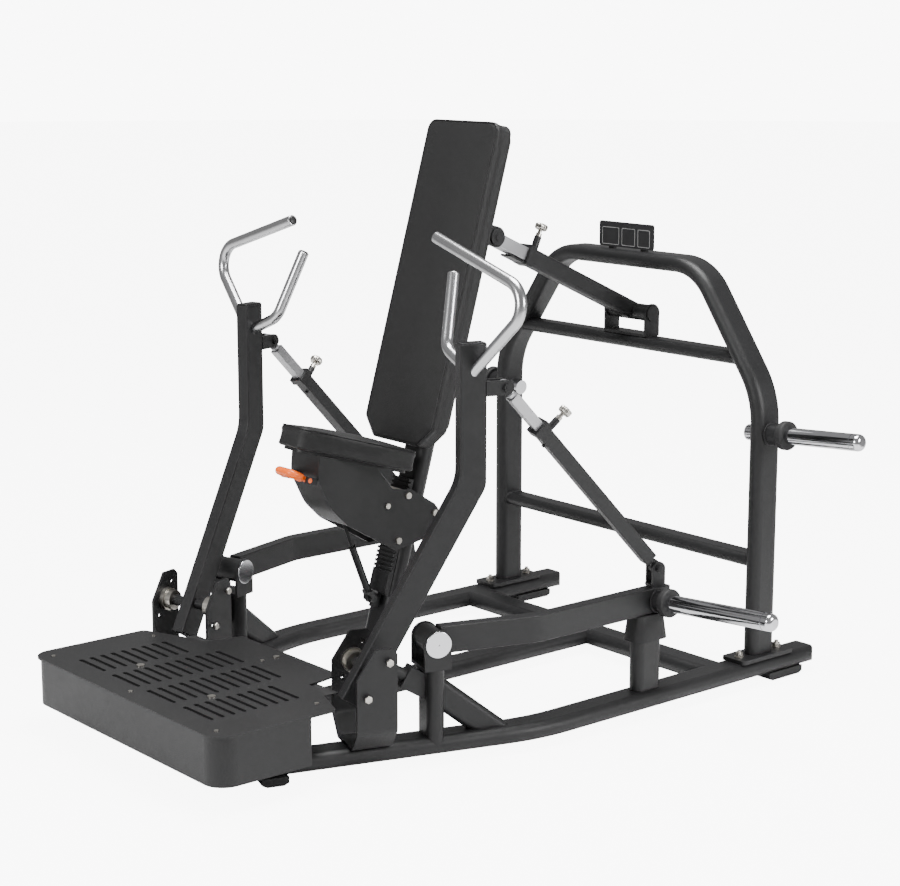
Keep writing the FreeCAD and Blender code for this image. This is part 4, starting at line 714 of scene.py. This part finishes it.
# ---------------------------------------------------------------- small hardware
@dataclass
class Hardware:
    """Bolt heads on the arm brackets, star knobs, arm caps, grip plugs and the seat release's sleeve."""

    bracket_face: float = 0.1125
    bolt_across: float = 0.019
    bolt_tall: float = 0.007
    knob_lobes: int = 8
    sleeve_radius: float = 0.0122

    def bracket_bolts(self, paints: Paints, side: int) -> None:
        """Two hexagon heads outside each plate of an arm bracket.

        Args:
            paints: The finishes.
            side: 1 for the right-hand side, -1 for the left.
        """
        tag = "right" if side > 0 else "left"
        for k, (y, z) in enumerate(((0.029, 0.321), (-0.031, 0.2295))):
            for j, face in enumerate((1, -1)):
                foot = on_pivot(np.array([face * self.bracket_face, y, z]), side)
                axis = on_pivot(np.array([face, 0, 0.0]), side) - on_pivot(np.zeros(3), side)
                shape = hexagonal(foot, axis, self.bolt_across, self.bolt_tall)
                paints.on(skin(f"bracket_bolt_{tag}_{k}{j}", shape, smooth=False), BOLT, "root")

    def star_knob(self, paints: Paints, joint: str, body: str, node: str) -> None:
        """Scalloped knob over the head of a pull pin, on the line that the pin slides along.

        Args:
            paints: The finishes.
            joint: Name of the joint that the pin slides on.
            body: Name of the pin's body.
            node: Name of the pin's node.
        """
        spec = next(j for j in frame["joints"] if j["name"] == joint)
        axis = np.array(spec["axis"], float)
        lo, hi = (np.array(v, float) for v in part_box(node))
        points = points_of(frame["nodes"][node].data)
        along = points @ axis
        tip = points[along > along.max() - 0.002].mean(0)
        profile = np.array([(-0.0175, 0.010), (-0.017, 0.0165), (-0.013, 0.0192), (-0.003, 0.0195),
                            (-0.0002, 0.0175), (0.0012, 0.012), (0.0006, 0.004)])
        knob = skin(f"{node}_knob", turned(tip, axis, profile, self.knob_lobes, 0.12, 64))
        paints.on(knob, BOLT, body)
        log.info("knob on %s near %s", node, np.round((lo + hi) / 2, 3).tolist())

    def arm_cap(self, paints: Paints, side: int) -> None:
        """Plastic plug in the open top of a press arm, crowned by 2.6 mm.

        Args:
            paints: The finishes.
            side: 1 for the right-hand side, -1 for the left.
        """
        tag = "right" if side > 0 else "left"
        outline = rounded_outline([(-0.0185, 0.2655, 0.004), (0.0185, 0.2655, 0.004), (0.0185, 0.3375, 0.004),
                                   (-0.0185, 0.3375, 0.004)], 96)
        centre = outline.mean(0)
        shrink = np.array([1.0, 1.0, 0.985, 0.95, 0.6, 0.2])
        high = np.array([1.1248, 1.1268, 1.1278, 1.1284, 1.1292, 1.1294])
        flat = centre + (outline[None] - centre) * shrink[:, None, None]
        rings = np.concatenate([flat, np.broadcast_to(high[:, None, None], (len(high), 96, 1))], -1)
        paints.on(skin(f"arm_cap_{tag}", on_pivot(rings, side)), MOULDED, f"arm_{tag}")

    def grip_plug(self, paints: Paints, side: int, tip: tuple[float, float, float],
                  back: tuple[float, float, float], k: int) -> None:
        """Domed plug in the end of a grip tube.

        Args:
            paints: The finishes.
            side: 1 for the right-hand side, -1 for the left.
            tip: Middle of the tube's open end, on the right.
            back: Another point of the tube's axis, on the right.
            k: Number of the grip in the plug's name.
        """
        tag = "right" if side > 0 else "left"
        mirror = np.array([side, 1.0, 1.0])
        end, rear = np.array(tip) * mirror, np.array(back) * mirror
        profile = np.array([(-0.0005, 0.0125), (0.0012, 0.0125), (0.0024, 0.0115), (0.0032, 0.007),
                            (0.0034, 0.002)])
        paints.on(skin(f"grip_plug_{tag}_{k}", turned(end, end - rear, profile)), MOULDED, f"arm_{tag}")

    def release_sleeve(self, paints: Paints) -> None:
        """Dipped sleeve on the seat release: a round section carried along a U of legs, arcs and a bar.

        Across is the direction of the bar and out is the distance from the pivot. Each arc turns a quarter
        circle of the bend radius, and the height rises evenly with the distance.

        Args:
            paints: The finishes.
        """
        turn, leg = np.linspace(0, np.pi / 2, 9), np.linspace(0.010, 0.034, 6)
        bend, half, reach = 0.014, 0.034, 0.048
        arc_across, arc_out = half - bend + bend * np.cos(turn), reach - bend + bend * np.sin(turn)
        across = np.concatenate([np.full(5, half), arc_across])
        out = np.concatenate([leg[:-1], arc_out])
        across, out = np.concatenate([-across, across[::-1]]), np.concatenate([out, out[::-1]])
        path = on_post(np.stack([across, -0.409 - out, 0.506 + 0.1875 * out], -1))
        radius = np.full(len(path), self.sleeve_radius)
        radius[[0, -1]], radius[[1, -2]] = 0.0095, 0.0116
        sleeve = carried("release_sleeve", path, radius, np.array([0.0, 0.25, 1.0]), 24, ring=False)
        paints.on(sleeve, ORANGE, "release")

    def build(self, paints: Paints) -> None:
        """Makes all the hardware on both sides.

        Args:
            paints: The finishes.
        """
        self.release_sleeve(paints)
        for side in (1, -1):
            tag = "right" if side > 0 else "left"
            self.bracket_bolts(paints, side)
            self.arm_cap(paints, side)
            self.star_knob(paints, f"link_pin_pull_{tag}", f"pin_{tag}", f"link_pin_{tag}")
            self.grip_plug(paints, side, (0.326, -0.236, 1.386), (0.735, -0.241, 1.263), 0)
            self.grip_plug(paints, side, (0.341, -0.187, 1.289), (0.389, -0.253, 1.097), 1)
        self.star_knob(paints, "strut_pin_pull", "strut_pin", "adjuster_pin")
        log.info("hardware built")


@dataclass
class Welds:
    """Painted weld beads where the round stubs and the middle crossbar meet their tubes."""

    bead: float = 0.0032
    stub_radius: float = 0.0315
    upright_x: float = 0.568
    upright_y: float = 0.822
    tube_round: float = 0.025

    def ripple(self, count: int, waves: int) -> Array:
        """Radius of a bead round its path: the bead's radius with a small even wave for each pass."""
        return self.bead * (1 + 0.12 * np.sin(np.linspace(0, 2 * np.pi * waves, count, endpoint=False)))

    def stub(self, paints: Paints, name: str, centre: Array, axis: Array, body: str) -> None:
        """Bead round a stub: a circle of the stub's radius in the plane square to its axis."""
        path = turned(centre, axis, np.array([(0.0, self.stub_radius)]), around=160)[0]
        paints.on(carried(name, path, self.ripple(160, 40), np.asarray(axis, float), 8), POWDER, body)

    def crossbar(self, paints: Paints, side: int) -> None:
        """Bead round the middle crossbar's end: its flat-oval outline laid on the upright's rounded flank.

        Args:
            paints: The finishes.
            side: 1 for the right-hand side, -1 for the left.
        """
        outline = rounded_outline([(-0.040, -0.020, 0.0199), (0.040, -0.020, 0.0199), (0.040, 0.020, 0.0199),
                                   (-0.040, 0.020, 0.0199)], 200)
        y, z = outline[:, 0] + 0.828, outline[:, 1] + 0.368
        beyond = np.clip(np.abs(y - self.upright_y) - self.tube_round, 0, 0.0249)
        x = self.upright_x - np.sqrt(self.tube_round**2 - beyond**2)
        path = np.stack([side * x, y, z], -1)
        tag = "right" if side > 0 else "left"
        bead = carried(f"crossbar_weld_{tag}", path, self.ripple(200, 44), np.array([1.0, 0, 0]), 8)
        paints.on(bead, POWDER, "root")

    def build(self, paints: Paints) -> None:
        """Lays the beads on both sides.

        Args:
            paints: The finishes.
        """
        tilt = math.tan(math.radians(4.2))
        for side in (1, -1):
            tag = "right" if side > 0 else "left"
            axis = np.array([side, 0, tilt])
            storage = np.array([side * 0.5945, 0.822, 0.757 + 0.0265 * tilt])
            lever = np.array([side * 0.5915, 0.365, 0.330 + 0.0215 * tilt])
            self.stub(paints, f"storage_weld_{tag}", storage, axis, "root")
            self.stub(paints, f"lever_weld_{tag}", lever, axis, f"lever_{tag}")
            self.crossbar(paints, side)
        log.info("welds built")


class Placard:
    """Plain frames on the plate above the arch; they carry no words or pictures."""

    def build(self, paints: Paints) -> None:
        """Lays three thin raised frames with rounded corners on the plate's front.

        Args:
            paints: The finishes.
        """
        lo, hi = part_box("placard")
        panels = ((-0.104, -0.030, 0.012, 0.066), (-0.018, 0.040, 0.012, 0.066), (0.052, 0.104, 0.012, 0.066))
        for k, (x0, x1, z0, z1) in enumerate(panels):
            outline = rounded_outline([(x0, z0, 0.004), (x1, z0, 0.004), (x1, z1, 0.004), (x0, z1, 0.004)], 64)
            inner = outline + inward(outline) * 0.0016
            rim = np.stack([outline, outline, inner, inner])
            depth = np.array([0.0002, -0.0006, -0.0006, 0.0002])[:, None]
            forward = np.broadcast_to(lo[1] + depth, rim.shape[:2])
            rings = np.stack([rim[..., 0], forward, rim[..., 1] + lo[2]], -1)
            paints.on(skin(f"placard_line_{k}", rings, capped=False, smooth=False), INLAY, "root")
        log.info("placard dressed, %.3f m wide", hi[0] - lo[0])


# ---------------------------------------------------------------- studio
@dataclass
class Studio:
    """Pale floor, soft light from large areas and the camera."""

    eye: tuple[float, float, float] = (4.5428, -3.7130, 1.9246)
    azimuth: float = 50.10
    elevation: float = 11.352
    lens: float = 82.164

    def floor(self) -> None:
        """Round floor: rings of growing radius, half a millimetre under height 0."""
        angle = np.linspace(0, 2 * np.pi, 96, endpoint=False)
        radius = np.array([0.01, 2.0, 8.0, 40.0])
        flat = radius[:, None, None] * np.stack([np.cos(angle), np.sin(angle), 0 * angle], -1)[None]
        mesh = bpy.data.meshes.new("floor")
        count = len(angle)
        row, col = np.arange(3)[:, None] * count, np.arange(count)[None]
        after = (col + 1) % count
        quads = np.stack([row + col, row + count + col, row + count + after, row + after], -1)
        faces = quads.reshape(-1, 4).tolist() + [list(range(count))]
        mesh.from_pydata((flat.reshape(-1, 3) - [0, 0, 0.0005]).tolist(), [], faces)
        made = bpy.data.objects.new("floor", mesh)
        bpy.context.scene.collection.objects.link(made)
        paint = bpy.data.materials.new("pale_floor")
        paint.use_nodes = True
        shader = paint.node_tree.nodes["Principled BSDF"]
        shader.inputs["Base Color"].default_value = (0.93, 0.93, 0.93, 1)
        tree = paint.node_tree
        glow = tree.nodes.new("ShaderNodeEmission")
        glow.inputs["Strength"].default_value = 16.0
        seen, mix = tree.nodes.new("ShaderNodeLightPath"), tree.nodes.new("ShaderNodeMixShader")
        share = maths(tree, "MULTIPLY", seen.outputs["Is Camera Ray"], 0.5)
        tree.links.new(share, mix.inputs[0])
        tree.links.new(shader.outputs[0], mix.inputs[1])
        tree.links.new(glow.outputs[0], mix.inputs[2])
        tree.links.new(mix.outputs[0], tree.nodes["Material Output"].inputs["Surface"])
        shader.inputs["Roughness"].default_value = 0.7
        mesh.materials.append(paint)

    def lamp(self, name: str, place: tuple[float, float, float], size: float, power: float) -> None:
        """Square area light that faces the machine's middle.

        Args:
            name: Name of the light.
            place: Where it stands.
            size: Side of the square in metres.
            power: Power in watts.
        """
        data = bpy.data.lights.new(name, "AREA")
        data.shape, data.size, data.energy = "SQUARE", size, power
        made = bpy.data.objects.new(name, data)
        made.location = place
        made.rotation_euler = (Vector((0, 0, 0.7)) - Vector(place)).to_track_quat("-Z", "Y").to_euler()
        bpy.context.scene.collection.objects.link(made)

    def build(self) -> None:
        """Sets the world, the lamps, the floor and the camera."""
        world = bpy.data.worlds.new("studio")
        world.use_nodes = True
        tree = world.node_tree
        around, behind = tree.nodes["Background"], tree.nodes.new("ShaderNodeBackground")
        around.inputs["Color"].default_value, around.inputs["Strength"].default_value = (1, 1, 1, 1), 0.36
        behind.inputs["Color"].default_value, behind.inputs["Strength"].default_value = (1, 1, 1, 1), 9.0
        seen, mix = tree.nodes.new("ShaderNodeLightPath"), tree.nodes.new("ShaderNodeMixShader")
        tree.links.new(seen.outputs["Is Camera Ray"], mix.inputs[0])
        tree.links.new(around.outputs[0], mix.inputs[1])
        tree.links.new(behind.outputs[0], mix.inputs[2])
        tree.links.new(mix.outputs[0], tree.nodes["World Output"].inputs["Surface"])
        bpy.context.scene.world = world
        self.floor()
        self.lamp("top_softbox", (0.3, 0.2, 4.6), 2.4, 400)
        self.lamp("front_softbox", (0.4, -5.0, 2.6), 1.6, 210)
        self.lamp("side_softbox", (5.0, 1.8, 2.4), 1.6, 230)
        data = bpy.data.cameras.new("camera")
        data.lens, data.sensor_width, data.clip_end = self.lens, 36.0, 200.0
        made = bpy.data.objects.new("camera", data)
        a, e = math.radians(self.azimuth), math.radians(self.elevation)
        back = Vector((math.sin(a) * math.cos(e), -math.cos(a) * math.cos(e), math.sin(e)))
        made.location = self.eye
        made.rotation_mode = "QUATERNION"
        made.rotation_quaternion = (-back).to_track_quat("-Z", "Y")
        bpy.context.scene.collection.objects.link(made)
        bpy.context.scene.camera = made
        log.info("studio built")


def main() -> None:
    """Builds the studio and every sub-assembly in order."""
    logging.basicConfig(level=logging.INFO, format="%(name)s: %(message)s")
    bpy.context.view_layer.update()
    Studio().build()
    paints = Paints()
    paints.dress_frame()
    BackPad("back_cushion", "back_pad", "backrest", back_corners(), 0.060).build(paints)
    seat = SeatPad("seat_cushion", "seat_pad", "carriage", seat_corners(), 0.060, edge=0.014, crown=0.007)
    seat.build(paints)
    Hardware().build(paints)
    Welds().build(paints)
    Placard().build(paints)
    log.info("scene built")


if __name__ == "__main__":
    main()
